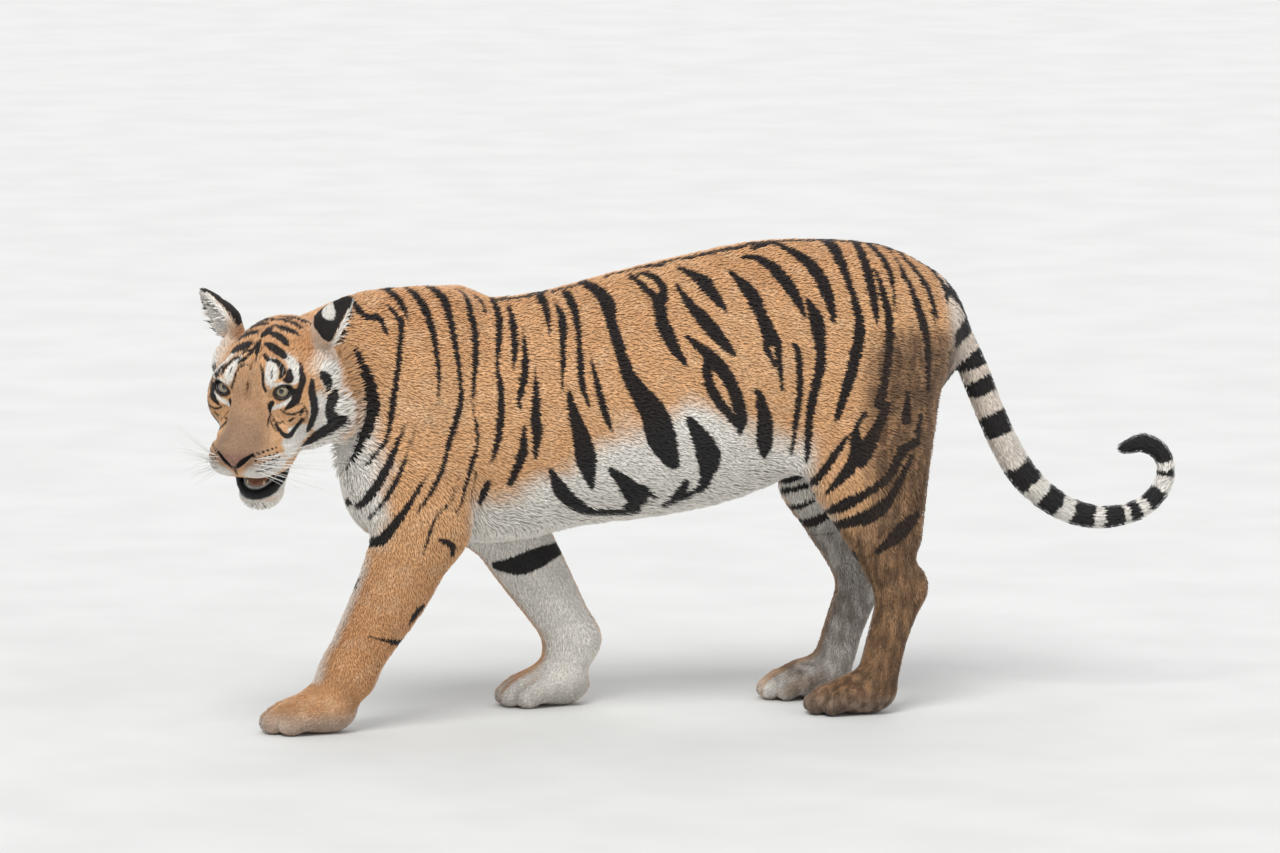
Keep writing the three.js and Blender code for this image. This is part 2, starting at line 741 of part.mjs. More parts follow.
function earRegion(ear, grow) {
  const { base, rise, across, facing } = earFrame(ear);
  const centre = base.clone().addScaledVector(rise, EAR_CUT + 60);
  const matrix = new THREE.Matrix4().makeBasis(rise, across, facing).setPosition(centre);
  const [height, width, depth] = [120, 104, 76].map((length) => length + 2 * grow);
  return geometrySolid(new THREE.BoxGeometry(height, width, depth), matrix);
}

// In the head's own frame the left eye has side 1 and the right one -1.
const eyeCentre = (side) => onHead(EYE.forward, side * EYE.side, EYE.up);

function eyeball(side, radius) {
  const matrix = new THREE.Matrix4().makeTranslation(eyeCentre(side));
  return geometrySolid(new THREE.SphereGeometry(radius, EYE.facets, EYE.facets * 0.75), matrix);
}

// The opening between the lids, from the front of the eyeball outwards.
function lidOpening(side) {
  const centre = onHead(EYE.forward + LID_OPENING.forward, side * EYE.side, EYE.up);
  const matrix = new THREE.Matrix4().makeBasis(HEAD.forward, HEAD.left, HEAD.up).setPosition(centre);
  matrix.scale(vec(...LID_OPENING.halfSizes));
  return geometrySolid(new THREE.SphereGeometry(1, EYE.facets, EYE.facets * 0.75), matrix);
}

// What belongs to the tail: behind the buttocks and beyond the cut across its root.
function tailRegion(grow) {
  return keep(
    halfSpace(tailPoint(TAIL_CUT), tailDirection(TAIL_CUT), -grow),
    halfSpace(vec(BUTTOCK_X, 0, 0), vec(1, 0, 0), -grow),
  );
}

// ---------------------------------------------------------------- the tail

// A closed tube through rings of { centre, along, radius }, flat at both ends.
function loft(rings, sides) {
  const vertices = [];
  const triangles = [];
  const across = vec(0, 1, 0);
  const outward = 1 / Math.sqrt(Math.cos(Math.PI / sides));
  for (const { centre, along, radius } of rings) {
    const upward = across.clone().cross(along).normalize();
    for (let i = 0; i < sides; i++) {
      const angle = (2 * Math.PI * i) / sides;
      const point = centre.clone();
      point.addScaledVector(upward, radius * outward * Math.cos(angle));
      point.addScaledVector(across, radius * outward * Math.sin(angle));
      vertices.push(point);
    }
  }
  for (let ring = 0; ring < rings.length - 1; ring++)
    for (let i = 0; i < sides; i++) {
      const [a, b] = [ring * sides + i, ring * sides + ((i + 1) % sides)];
      triangles.push(a, b, a + sides, b, b + sides, a + sides);
    }
  const last = (rings.length - 1) * sides;
  const start = vertices.push(rings[0].centre) - 1;
  const end = vertices.push(rings.at(-1).centre) - 1;
  for (let i = 0; i < sides; i++) {
    const next = (i + 1) % sides;
    triangles.push(start, next, i, end, last + i, last + next);
  }
  return solid(vertices, triangles);
}

// Lengths of the tail from its root cut to its rounded tip.
function tailSolids() {
  const first = Math.round(TAIL_CUT * (tailPath.length - 1));
  const pathLength = tailPath.length - 1 - first;
  const rings = tailPath.map((station, i) => ({
    centre: vec(...station.slice(0, 3)),
    along: tailDirection(i / (tailPath.length - 1)),
    radius: station[3],
  }));
  const moved = (ring, distance) => ({
    ...ring,
    centre: ring.centre.clone().addScaledVector(ring.along, distance),
  });
  return Array.from({ length: TAIL_LENGTHS }, (_, n) => {
    const from = first + Math.round((pathLength * n) / TAIL_LENGTHS);
    const to = first + Math.round((pathLength * (n + 1)) / TAIL_LENGTHS);
    const middle = rings.slice(from + 1, to).filter((_ring, i) => i % TAIL_RING_STEP === 1);
    const piece = [moved(rings[from], GAP / 2), ...middle];
    const end = rings[to];
    if (n < TAIL_LENGTHS - 1) piece.push(moved(end, -GAP / 2));
    else
      for (const angle of [0, 30, 60, 80].map(THREE.MathUtils.degToRad)) {
        const tip = moved(end, end.radius * Math.sin(angle));
        piece.push({ ...tip, radius: end.radius * Math.cos(angle) });
      }
    return loft(piece, TAIL_SIDES);
  });
}

// ---------------------------------------------------------------- pieces

const SHRINK = -GAP / 2;
const GROW = GAP / 2;

function headPieces() {
  const head = remove(
    keep(bodyRegion("head"), halfSpace(headPlane, alongHead), halfSpace(neckPlane, alongNeck)),
    ...Object.values(EARS).map((ear) => earRegion(ear, GROW)),
    jawRegion(GROW),
    ...[1, -1].flatMap((side) => [eyeball(side, EYE.radius + GAP), lidOpening(side)]),
  );
  const jawBox = new THREE.Box3().setFromPoints([onHead(...JAW_BOX.middle)]);
  jawBox.expandByScalar(JAW_BOX.reach);
  const tongueMass = headChain(TONGUE, 0);
  const tongueBox = tongueMass.box.clone().expandByScalar(2 * TONGUE_PLAY);
  const tongue = (play) => surface((p) => tongueMass.distance(p) - play, tongueBox, CELL.tongue);
  const jaw = remove(keep(body(jawBox, CELL.jaw), jawRegion(SHRINK)), tongue(TONGUE_PLAY));
  return [
    toMesh("head", mainBody(head), COAT),
    toMesh("lower_jaw", mainBody(jaw), PALE_COAT),
    toMesh("tongue", tongue(0), TONGUE_FLESH, 0.5),
  ];
}

function earPieces() {
  return Object.entries(EARS).map(([name, ear]) => {
    const { base, rise } = earFrame(ear);
    const middle = base.clone().addScaledVector(rise, EAR_BOX.height);
    const box = new THREE.Box3().setFromPoints([middle]).expandByScalar(EAR_BOX.reach);
    return toMesh("ear_" + name, mainBody(keep(body(box, CELL.ear), earRegion(ear, SHRINK))), EAR_COAT);
  });
}

const eyePieces = () =>
  [["left", 1], ["right", -1]].map(([name, side]) =>
    toMesh("eye_" + name, eyeball(side, EYE.radius), IRIS, 0.08),
  );

function trunkPieces() {
  const earRegions = Object.values(EARS).map((ear) => earRegion(ear, GROW));
  const forelegs = [LEFT, RIGHT].map((side) => forelegRegion(side, GROW));
  const hindLegs = [LEFT, RIGHT].map((side) => hindLegRegion(side, GROW));
  const shoulderPlane = vec(SHOULDER_CUT, 0, 0);
  const rumpPlane = vec(RUMP_CUT, 0, 0);
  const neck = remove(
    keep(
      bodyRegion("neck"),
      halfSpace(neckPlane, alongNeck),
      halfSpace(headPlane, opposite(alongHead)),
    ),
    ...earRegions,
  );
  const shoulders = remove(
    keep(
      bodyRegion("shoulders"),
      halfSpace(neckPlane, opposite(alongNeck)),
      halfSpace(shoulderPlane, vec(-1, 0, 0)),
    ),
    ...forelegs,
  );
  const barrel = remove(
    keep(
      bodyRegion("trunk"),
      halfSpace(shoulderPlane, vec(1, 0, 0)),
      halfSpace(rumpPlane, vec(-1, 0, 0)),
    ),
    ...forelegs,
    ...hindLegs,
  );
  const hindquarters = remove(
    keep(
      bodyRegion("hindquarters"),
      halfSpace(rumpPlane, vec(1, 0, 0)),
    ),
    ...hindLegs,
    tailRegion(GROW),
  );
  return [
    toMesh("neck", mainBody(neck), COAT),
    toMesh("shoulders", mainBody(shoulders), COAT),
    toMesh("trunk", mainBody(barrel), COAT),
    toMesh("hindquarters", mainBody(hindquarters), COAT),
  ];
}

const below = (z) => halfSpace(vec(0, 0, z), vec(0, 0, -1));
const above = (z) => halfSpace(vec(0, 0, z), vec(0, 0, 1));
const onFloor = (shape) => keep(shape, halfSpace(vec(0, 0, 0), vec(0, 0, 1), 0));

function forelegPieces([name, leg]) {
  const xs = [...leg.forearm.map(([x]) => x), leg.knuckle[0]];
  const [y0, y1] = leg.side < 0 ? [-250, -40] : [40, 250];
  const limb = body(bounds(Math.min(...xs) - 130, y0, 90, Math.max(...xs) + 130, y1, 480), CELL.foreleg);
  const [pawX] = leg.paw;
  const foot = body(bounds(pawX - 150, y0, -20, pawX + 160, y1, WRIST_CUT + 40), CELL.paw);
  return [
    toMesh(`foreleg_${name}`, mainBody(keep(limb, forelegRegion(leg.side, SHRINK), above(WRIST_CUT))), COAT),
    toMesh(`forepaw_${name}`, mainBody(onFloor(keep(foot, below(WRIST_CUT)))), COAT),
  ];
}

function hindLegPieces([name, leg]) {
  const [y0, y1] = leg.side < 0 ? [-260, 20] : [-20, 260];
  const region = hindLegRegion(leg.side, SHRINK);
  const thigh = body(bounds(230, y0, KNEE_CUT - 50, 690, y1, 720), CELL.thigh);
  const shank = body(bounds(leg.knee[0] - 130, y0, HOCK_CUT - 50, 660, y1, KNEE_CUT + 60), CELL.shank);
  const [pawX] = leg.paw;
  const hock = body(bounds(leg.ankle[0] - 90, y0, PASTERN_CUT - 40, 640, y1, HOCK_CUT + 50), CELL.hock);
  const paw = body(bounds(pawX - 140, y0, -20, leg.ankle[0] + 90, y1, PASTERN_CUT + 40), CELL.paw);
  return [
    toMesh(`thigh_${name}`, mainBody(keep(thigh, region, above(KNEE_CUT))), COAT),
    toMesh(`shank_${name}`, mainBody(keep(shank, region, below(KNEE_CUT), above(HOCK_CUT))), COAT),
    toMesh(`hock_${name}`, mainBody(keep(hock, below(HOCK_CUT), above(PASTERN_CUT))), COAT),
    toMesh(`hindpaw_${name}`, mainBody(onFloor(keep(paw, below(PASTERN_CUT)))), COAT),
  ];
}

const tailPieces = () => tailSolids().map((shape, i) => toMesh(`tail_${i + 1}`, shape, TAIL_COAT));

// ---------------------------------------------------------------- the tiger

function buildTiger() {
  const tiger = new THREE.Group();
  tiger.name = "bengal_tiger";
  tiger.add(
    ...headPieces(),
    ...earPieces(),
    ...eyePieces(),
    ...trunkPieces(),
    ...Object.entries(FORELEGS).flatMap(forelegPieces),
    ...Object.entries(HIND_LEGS).flatMap(hindLegPieces),
    ...tailPieces(),
  );
  // The origin goes to the floor under the middle of the whole outline.
  const outline = new THREE.Box3().setFromObject(tiger);
  const middle = outline.getCenter(vec(0, 0, 0));
  tiger.position.set(-middle.x, -middle.y, 0);
  return tiger;
}

export default buildTiger();
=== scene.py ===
"""A life-size Bengal tiger in mid walk, its head turned to its left.

The body is one closed skin with a coat of overlapping tufts; eyes, lid rims, gums, teeth, tongue, whiskers
and claws are pieces of their own. Shapes are worked out in millimetres in the walking frame (the tiger walks
towards -X, its left side faces -Y, the floor is Z = 0) and written in metres in the CAD frame.
"""

import logging
import math
from collections.abc import Callable, Iterable, Sequence
from dataclasses import dataclass, field
from enum import Enum

import bpy
import numpy as np
from mathutils import Matrix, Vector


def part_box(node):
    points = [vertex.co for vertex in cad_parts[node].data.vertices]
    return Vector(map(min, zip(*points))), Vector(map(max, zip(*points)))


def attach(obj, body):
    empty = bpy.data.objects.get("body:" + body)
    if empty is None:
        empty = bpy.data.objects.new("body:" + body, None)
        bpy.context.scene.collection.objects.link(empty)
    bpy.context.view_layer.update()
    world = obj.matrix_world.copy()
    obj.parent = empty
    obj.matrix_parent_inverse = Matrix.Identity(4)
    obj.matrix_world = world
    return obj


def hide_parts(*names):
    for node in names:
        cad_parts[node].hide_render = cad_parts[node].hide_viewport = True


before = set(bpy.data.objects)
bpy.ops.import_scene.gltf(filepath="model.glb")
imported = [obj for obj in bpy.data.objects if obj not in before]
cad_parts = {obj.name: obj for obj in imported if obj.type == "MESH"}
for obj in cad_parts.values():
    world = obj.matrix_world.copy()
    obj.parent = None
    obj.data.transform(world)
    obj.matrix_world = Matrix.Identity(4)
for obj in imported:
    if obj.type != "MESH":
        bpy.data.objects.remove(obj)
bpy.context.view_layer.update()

LOG = logging.getLogger("tiger")
Array = np.ndarray
Mesh = tuple[Array, list[Array]]
Rows = Sequence[Sequence[float]]
Material = bpy.types.Material
Socket = bpy.types.NodeSocket
SEED = 20
MM = 0.001
TINY = 1e-9
ROUND = 2 * math.pi
LEFT, RIGHT = -1, 1
CELL, QUICK_CELL = 8.3, 12.0
TUFTS, QUICK_TUFTS = 212_000, 40_000
FLESH_NODES = (
    ["head", "lower_jaw", "neck", "shoulders", "trunk", "hindquarters"]
    + [f"{part}_{side}" for side in ("left", "right")
       for part in ("ear", "foreleg", "forepaw", "thigh", "shank", "hock", "hindpaw")]
    + [f"tail_{number}" for number in range(1, 7)]
)


# ------------------------------------------------------------------ small maths


def ease(value: Array, low: float, high: float) -> Array:
    """Rises smoothly from 0 at low to 1 at high: t squared times 3 - 2t."""
    t = np.clip((value - low) / (high - low), 0.0, 1.0)
    return t * t * (3.0 - 2.0 * t)


def mix(first: Array, second: Array, share: Array) -> Array:
    """First plus share times the step to second."""
    return first + (second - first) * share


def norm(vectors: Array) -> Array:
    """The length of each vector."""
    return np.linalg.norm(vectors, axis=-1)


def unit(vectors: Array) -> Array:
    """Each vector over its own length."""
    return vectors / (norm(vectors)[..., None] + TINY)


def smooth_min(a: Array, b: Array, blend: float) -> Array:
    """The lower of two fields, with the corner rounded over the blend width."""
    h = np.maximum(blend - np.abs(a - b), 0.0) / blend
    return np.minimum(a, b) - h * h * blend * 0.25


def smooth_max(a: Array, b: Array, blend: float) -> Array:
    """The higher of two fields, with the corner rounded over the blend width."""
    return -smooth_min(-a, -b, blend)


def circle(count: int) -> Array:
    """Angles evenly round a circle."""
    return np.linspace(0, ROUND, count, endpoint=False)


def wobble(points: Array, size: float, phase: float = 0.0) -> Array:
    """A smooth uneven pattern from -1 to 1: the mean of three sines along slanted directions."""
    slants = np.array([[1.0, 0.4, 0.7], [-0.5, 1.1, 0.6], [0.3, -0.7, 1.2]]) / size
    return np.sin(points @ slants.T + phase + np.array([0.0, 1.9, 4.1])).mean(axis=1)


def through_stations(stations: Rows, steps: int) -> Array:
    """A smooth path through stations.

    Each span is a Catmull-Rom cubic of the four stations round it, sampled at equal steps, with every number
    of a station interpolated alike.

    Args:
        stations: rows of numbers, all of one length.
        steps: samples in each span.

    Returns:
        The sampled rows, the last station included.
    """
    rows = np.array(stations, float)
    full = np.vstack([2 * rows[0] - rows[1], rows, 2 * rows[-1] - rows[-2]])
    t = (np.arange(steps) / steps)[None, :, None]
    p0, p1, p2, p3 = (full[i : len(full) - 3 + i][:, None, :] for i in range(4))
    cubic = (3 * p1 - p0 - 3 * p2 + p3) * t**3
    curve = 0.5 * (2 * p1 + (p2 - p0) * t + (2 * p0 - 5 * p1 + 4 * p2 - p3) * t * t + cubic)
    return np.vstack([curve.reshape(-1, rows.shape[1]), rows[-1:]])


# ------------------------------------------------------------------ the head's own frame


@dataclass(frozen=True)
class HeadFrame:
    """Directions of the head, forward, left and up, from a point between the eyes (mm)."""

    yaw: float = 37.0
    pitch: float = 27.0
    roll: float = -1.3
    origin: tuple[float, float, float] = (-904.6, -268.2, 742.8)

    @property
    def axes(self) -> Array:
        """Rows: forward, left, up."""
        yaw, pitch, roll = (math.radians(a) for a in (self.yaw, self.pitch, self.roll))
        forward = np.array([
            -math.sin(yaw) * math.cos(pitch),
            -math.cos(yaw) * math.cos(pitch),
            -math.sin(pitch),
        ])
        level = np.array([math.cos(yaw), -math.sin(yaw), 0.0])
        left = level * math.cos(roll) + np.cross(forward, level) * math.sin(roll)
        return np.stack([forward, left, np.cross(forward, left)])

    def out(self, points: Sequence) -> Array:
        """Head coordinates to the walking frame."""
        return np.asarray(points, float) @ self.axes + np.array(self.origin)

    def turn(self, directions: Sequence) -> Array:
        """A direction in the head's axes as one in the walking frame."""
        return np.asarray(directions, float) @ self.axes

    def into(self, points: Array) -> Array:
        """Walking frame to head coordinates."""
        return (points - np.array(self.origin)) @ self.axes.T


HEAD = HeadFrame()
HEAD_MIDDLE = np.array([-20.0, 0.0, -60.0])


def on_head(own: Array, far: float, near: float) -> Array:
    """Share of the head at places in its own axes: 0 beyond far from its middle, 1 nearer than near."""
    return ease(norm(own - HEAD_MIDDLE), far, near)


# ------------------------------------------------------------------ masses of the form


@dataclass
class Limb:
    """A tapering tube along stations of x, y, z, radius and width ratio, flattened across one side."""

    stations: Rows
    blend: float
    across: Sequence[float] = (0.0, 1.0, 0.0)
    pear: float = 0.0
    steps: int = 3

    def __post_init__(self) -> None:
        """Samples the path and works out the box it fills."""
        full = [tuple(s) + (1.0,) * (5 - len(s)) for s in self.stations]
        self.path = through_stations(full, self.steps)
        self.side = unit(np.array(self.across, float))
        reach = self.path[:, 3] * np.maximum(1.0, self.path[:, 4])
        self.low = (self.path[:, :3] - reach[:, None]).min(axis=0)
        self.high = (self.path[:, :3] + reach[:, None]).max(axis=0)

    def distance(self, points: Array) -> Array:
        """Distance to the nearest span.

        The offset from the nearest point of a span is stretched across the side by the width ratio, compared
        with the radius there, and scaled back by the stretch.

        Args:
            points: places (mm).

        Returns:
            Signed distances, negative inside.
        """
        nearest = np.full(len(points), 1e9)
        for a, b in zip(self.path[:-1], self.path[1:]):
            span = b[:3] - a[:3]
            t = np.clip(((points - a[:3]) @ span) / (span @ span + TINY), 0.0, 1.0)
            offset = points - a[:3] - t[:, None] * span
            radius = a[3] + t * (b[3] - a[3])
            taper = 1.0 - self.pear * np.clip(offset[:, 2] / radius, -1.0, 1.0)
            width = (a[4] + t * (b[4] - a[4])) * taper
            lateral = offset @ self.side
            square = (offset * offset).sum(axis=1)
            stretched = np.sqrt(np.maximum(square - lateral**2, 0.0) + (lateral / width) ** 2) + TINY
            nearest = np.minimum(nearest, (stretched - radius) * np.sqrt(square + TINY) / stretched)
        return nearest


@dataclass
class Ball:
    """An egg-shaped mass with half sizes along its own axes."""

    centre: Sequence[float]
    half: Sequence[float]
    blend: float
    axes: Array | None = None

    def __post_init__(self) -> None:
        """Sets the axes and the box it fills."""
        self.centre = np.array(self.centre, float)
        self.half = np.array(self.half, float)
        self.turned = np.eye(3) if self.axes is None else np.array(self.axes, float)
        self.low = self.centre - self.half.max()
        self.high = self.centre + self.half.max()

    def distance(self, points: Array) -> Array:
        """k(k - 1) over the slope, where k is the offset measured in half sizes.

        Args:
            points: places (mm).

        Returns:
            Signed distances, negative inside.
        """
        offset = (points - self.centre) @ self.turned.T
        near = np.sqrt(((offset / self.half) ** 2).sum(axis=1)) + TINY
        far = np.sqrt(((offset / self.half**2) ** 2).sum(axis=1)) + TINY
        return near * (near - 1.0) / far


def added(value: Array, mass: "Limb | Ball | Ear", points: Array) -> Array:
    """The field with a mass melted onto it."""
    return smooth_min(value, mass.distance(points), mass.blend)


def less(value: Array, mass: Limb | Ball, points: Array) -> Array:
    """The field with a mass cut out of it."""
    return smooth_max(value, -mass.distance(points), mass.blend)


def head_ball(at: Sequence[float], half: Sequence[float], blend: float) -> Ball:
    """A ball placed and turned with the head."""
    return Ball(HEAD.out(at), half, blend, HEAD.axes)


def head_limb(stations: Rows, blend: float, steps: int = 2) -> Limb:
    """A limb whose stations are given in head coordinates."""
    placed = [(*HEAD.out(s[:3]), *s[3:]) for s in stations]
    return Limb(placed, blend, HEAD.axes[1], steps=steps)


@dataclass
class Ear:
    """A cupped leaf: an egg less a smaller one moved towards the opening."""

    base: Sequence[float]
    up: Sequence[float]
    opening: Sequence[float]
    black_from: float
    blend: float = 27.0

    def __post_init__(self) -> None:
        """Works out the ear's own axes: rise, across and facing."""
        self.rise = unit(HEAD.turn(self.up))
        facing = HEAD.turn(self.opening)
        self.facing = unit(facing - self.rise * (facing @ self.rise))
        axes = np.stack([self.rise, np.cross(self.facing, self.rise), self.facing])
        self.centre = HEAD.out(self.base) + self.rise * 40
        self.outer = Ball(self.centre, (68, 48, 30), 0, axes)
        self.inner = Ball(self.centre + self.facing * 20 - self.rise * 3, (58.5, 40.5, 32.5), 0, axes)
        self.low, self.high = self.centre - 70, self.centre + 70

    def distance(self, points: Array) -> Array:
        """The outer egg less the inner one, both broader at the foot and drawn in towards the tip.

        Args:
            points: places (mm).

        Returns:
            Signed distances, negative inside.
        """
        own = self.own(points)
        own[:, 1:] /= 1.08 - 0.60 * np.clip(own[:, :1] / 68, -0.4, 1.0)
        bent = self.centre + own @ self.outer.turned
        return smooth_max(self.outer.distance(bent), -self.inner.distance(bent), 5)

    def own(self, points: Array) -> Array:
        """Offsets from the middle along rise, across and facing."""
        return (points - self.centre) @ self.outer.turned.T

    def spot(self, own: Array) -> Array:
        """Distance from the middle of the white spot on the back, as a share of its size."""
        return np.hypot((own[:, 0] - 15) / 15, own[:, 1] / 30)


EARS = {
    LEFT: Ear((-155, 108, 45), (-0.355, 0.60, 0.72), (-0.50, 0.80, -0.32), -26),
    RIGHT: Ear((-169, -122, 32), (-0.34, -0.63, 0.70), (0.85, -0.48, -0.25), -48),
}
TAIL = [
    (560, 0, 880, 60), (622, 0, 862, 44), (664, 0, 800, 38), (706, 0, 722, 34), (740, 0, 640, 33),
    (776, 0, 560, 33), (820, 0, 487, 33), (876, 0, 434, 31), (936, 0, 402, 29), (1004, 0, 390, 26),
    (1072, 0, 403, 24), (1114, 0, 433, 23), (1136, 0, 475, 22), (1128, 0, 522, 22), (1090, 0, 548, 23),
    (1048, 0, 540, 17),
]
PAWS = {
    ("fore", LEFT): (-745, 142, 5, 1.0),
    ("fore", RIGHT): (-185, 140, 5, 1.0),
    ("hind", LEFT): (432, 120, 4, 0.88),
    ("hind", RIGHT): (382, 120, 4, 0.88),
}
TOES = [(46, -45), (74, -17), (76, 17), (48, 47)]


def paw_point(paw: tuple[str, int], forward: float, outward: float, height: float) -> Array:
    """A point near a paw.

    Args:
        paw: the paw's key in PAWS.
        forward: from its middle, along its heading.
        outward: from its middle, away from the body.
        height: over the floor.

    Returns:
        The point (walking mm).
    """
    x, y, heading, _ = PAWS[paw]
    side = paw[1]
    cos, sin = math.cos(math.radians(heading)), math.sin(math.radians(heading))
    return np.array([
        x - forward * cos - outward * sin * side,
        side * (y + outward * cos) - forward * sin * side,
        height,
    ])


@dataclass
class Form:
    """The tiger's form as one smooth field of distance, negative inside (mm)."""

    floor_edge: float = 3.0
    mouth: Ball = field(default_factory=lambda: head_ball((62, 0, -162), (68, 42, 22), 8))

    def __post_init__(self) -> None:
        """Gathers every mass, in the order in which they melt together."""
        self.masses = self.trunk_masses() + self.leg_masses() + self.head_masses()
        self.details = FaceDetails()

    @staticmethod
    def sided(stations: Rows, side: int) -> list[tuple[float, ...]]:
        """Stations given for the right side, mirrored for the left."""
        return [(s[0], side * s[1], *s[2:]) for s in stations]

    def trunk_masses(self) -> list[Limb | Ball]:
        """Barrel, neck, throat, chest, tail and the folds before the thighs."""
        trunk = [
            (-500, 0, 665, 150, 0.66), (-435, 0, 648, 236, 0.61), (-347, 0, 634, 262, 0.63),
            (-195, 0, 655, 256, 0.68), (-22, 0, 684, 268, 0.7), (108, 0, 710, 270, 0.68),
            (238, 0, 750, 255, 0.64), (340, 0, 788, 220, 0.62), (455, 0, 805, 192, 0.62),
            (520, 0, 800, 168, 0.64),
        ]
        neck = [
            (-500, 0, 760, 165, 0.85), (-590, -10, 755, 165, 0.8), (-680, -38, 762, 132, 0.88),
            (-775, -102, 756, 110, 0.95),
        ]
        pelvis = [(330, 62, 885, 82, 0.9), (460, 68, 875, 96, 0.85), (555, 62, 800, 96, 0.85)]
        return [
            Limb(trunk, 60, pear=0.1),
            Limb(neck, 60),
            Limb([(-560, -10, 600, 90, 0.9), (-590, -30, 660, 76, 0.95)], 45),
            Ball((-560, -5, 580), (100, 125, 160), 45),
            Ball((-572, -12, 500), (92, 118, 110), 45),
            Limb(TAIL, 25),
            Limb([(240, -90, 600, 60, 0.6), (305, -116, 560, 45, 0.5)], 60),
            Limb([(230, 90, 600, 60, 0.6), (275, 116, 560, 45, 0.5)], 60),
            *(Limb(self.sided(pelvis, side), 60) for side in (LEFT, RIGHT)),
        ]

    def leg_masses(self) -> list[Limb | Ball]:
        """All four legs: the left foreleg at full reach, the right one under the chest."""
        fore = {
            LEFT: (
                -612,
                [(-602, 122, 585, 96, 0.6), (-555, 138, 510, 112, 0.58), (-515, 143, 440, 100, 0.64)],
                [(-520, 440, 96, 0.66), (-545, 384, 90, 0.7), (-585, 295, 80, 0.78),
                 (-646, 190, 65, 0.9), (-680, 125, 59, 1.0)],
                (-722, 66),
            ),
            RIGHT: (
                -560,
                [(-552, 122, 585, 96, 0.6), (-450, 138, 510, 108, 0.58), (-338, 143, 435, 92, 0.64)],
                [(-325, 440, 90, 0.66), (-285, 384, 84, 0.72), (-230, 295, 75, 0.8),
                 (-172, 200, 62, 0.92), (-140, 140, 58, 1.0)],
                (-165, 70),
            ),
        }
        hind = {
            LEFT: ((455, 780), (412, 505), (519, 264), (468, 62)),
            RIGHT: ((450, 780), (396, 474), (488, 264), (425, 62)),
        }
        masses: list[Limb | Ball] = []
        for side in (LEFT, RIGHT):
            masses += self.foreleg(side, *fore[side])
        for side in (LEFT, RIGHT):
            masses += self.hind_leg(side, *hind[side])
        return masses

    def foreleg(
        self, side: int, shoulder: float, arm: list, forearm: list, knuckle: tuple[float, float]
    ) -> list[Limb | Ball]:
        """Shoulder blade, upper arm, forearm, pastern and paw.

        Args:
            side: LEFT or RIGHT.
            shoulder: where the point of the shoulder lies along the body.
            arm: stations of the upper arm.
            forearm: stations of the forearm without their sideways place.
            knuckle: where the pastern ends, along the body and in height.

        Returns:
            The masses.
        """
        scapula = [
            (shoulder + 150, 58, 850, 62, 0.75), (shoulder + 95, 92, 765, 98, 0.6),
            (shoulder + 35, 114, 665, 115, 0.52), (shoulder + 10, 120, 590, 98, 0.6),
        ]
        wrist_x, wrist_z, wrist_radius, _ = forearm[-1]
        pastern = [(wrist_x, 141, wrist_z, wrist_radius - 2, 0.98), (*knuckle[:1], 141, knuckle[1], 50, 1.08)]
        return [
            Limb(self.sided(scapula, side), 55),
            Limb(self.sided(arm, side), 45),
            Limb(self.sided([(x, 143, *rest) for x, *rest in forearm], side), 30),
            Limb(self.sided(pastern, side), 25, steps=2),
            *self.paw_masses(("fore", side)),
        ]

    def hind_leg(self, side: int, hip: tuple, knee: tuple, hock: tuple, ankle: tuple) -> list[Limb | Ball]:
        """Thigh, ham, shank, long foot, heel and paw.

        Args:
            side: LEFT or RIGHT.
            hip: where it lies along the body and its height.
            knee: the same, as for hock and ankle.
            hock: the same.
            ankle: the same.

        Returns:
            The masses.
        """
        hip, knee, hock, ankle = np.array([hip, knee, hock, ankle], float)
        thigh_mid, ham_mid = mix(hip, knee, 0.45), mix(hip, hock, 0.5)
        shank_mid, shank_low = mix(knee, hock, 0.4), mix(knee, hock, 0.75)
        foot_mid = mix(hock, ankle, 0.5)
        thigh = [
            (hip[0] + 5, 78, hip[1], 132, 0.6),
            (thigh_mid[0] + 12, 104, thigh_mid[1], 140, 0.52),
            (knee[0] + 14, 122, knee[1] + 8, 96, 0.62),
        ]
        ham = [
            (hip[0] + 75, 72, hip[1] - 10, 80, 0.85),
            (ham_mid[0] + 32, 98, ham_mid[1] + 40, 74, 0.8),
            (hock[0] - 2, 114, hock[1] + 120, 54, 0.72),
        ]
        shank = [
            (knee[0], 124, knee[1], 84, 0.68), (shank_mid[0], 124, shank_mid[1], 70, 0.72),
            (shank_low[0], 119, shank_low[1] + 6, 60, 0.74), (hock[0], 116, hock[1], 54, 0.8),
        ]
        foot = [
            (hock[0] + 6, 116, hock[1] - 5, 51, 0.84), (foot_mid[0], 117, foot_mid[1], 44, 1.0),
            (ankle[0], 119, ankle[1], 44, 1.15),
        ]
        return [
            Limb(self.sided(thigh, side), 50),
            Limb(self.sided(ham, side), 50),
            Limb(self.sided(shank, side), 30),
            Limb(self.sided(foot, side), 20),
            Ball((hock[0] + 26, side * 115, hock[1] + 12), (32, 26, 36), 20),
            *self.paw_masses(("hind", side)),
        ]

    def paw_masses(self, paw: tuple[str, int]) -> list[Limb | Ball]:
        """A low pad and four toes.

        Args:
            paw: the paw's key in PAWS.

        Returns:
            The masses.
        """
        width = PAWS[paw][3]
        masses: list[Limb | Ball] = [Ball(paw_point(paw, 0, 0, 42), (80 * width, 64 * width, 46), 30)]
        for forward, outward in TOES:
            toe = [
                (*paw_point(paw, forward - 45, outward * 0.8, 48), 28 * width),
                (*paw_point(paw, forward - 6, outward * width, 38), 29 * width),
                (*paw_point(paw, forward + 22, outward * width, 22), 25 * width),
            ]
            masses.append(Limb(toe, 12, steps=2))
        return masses

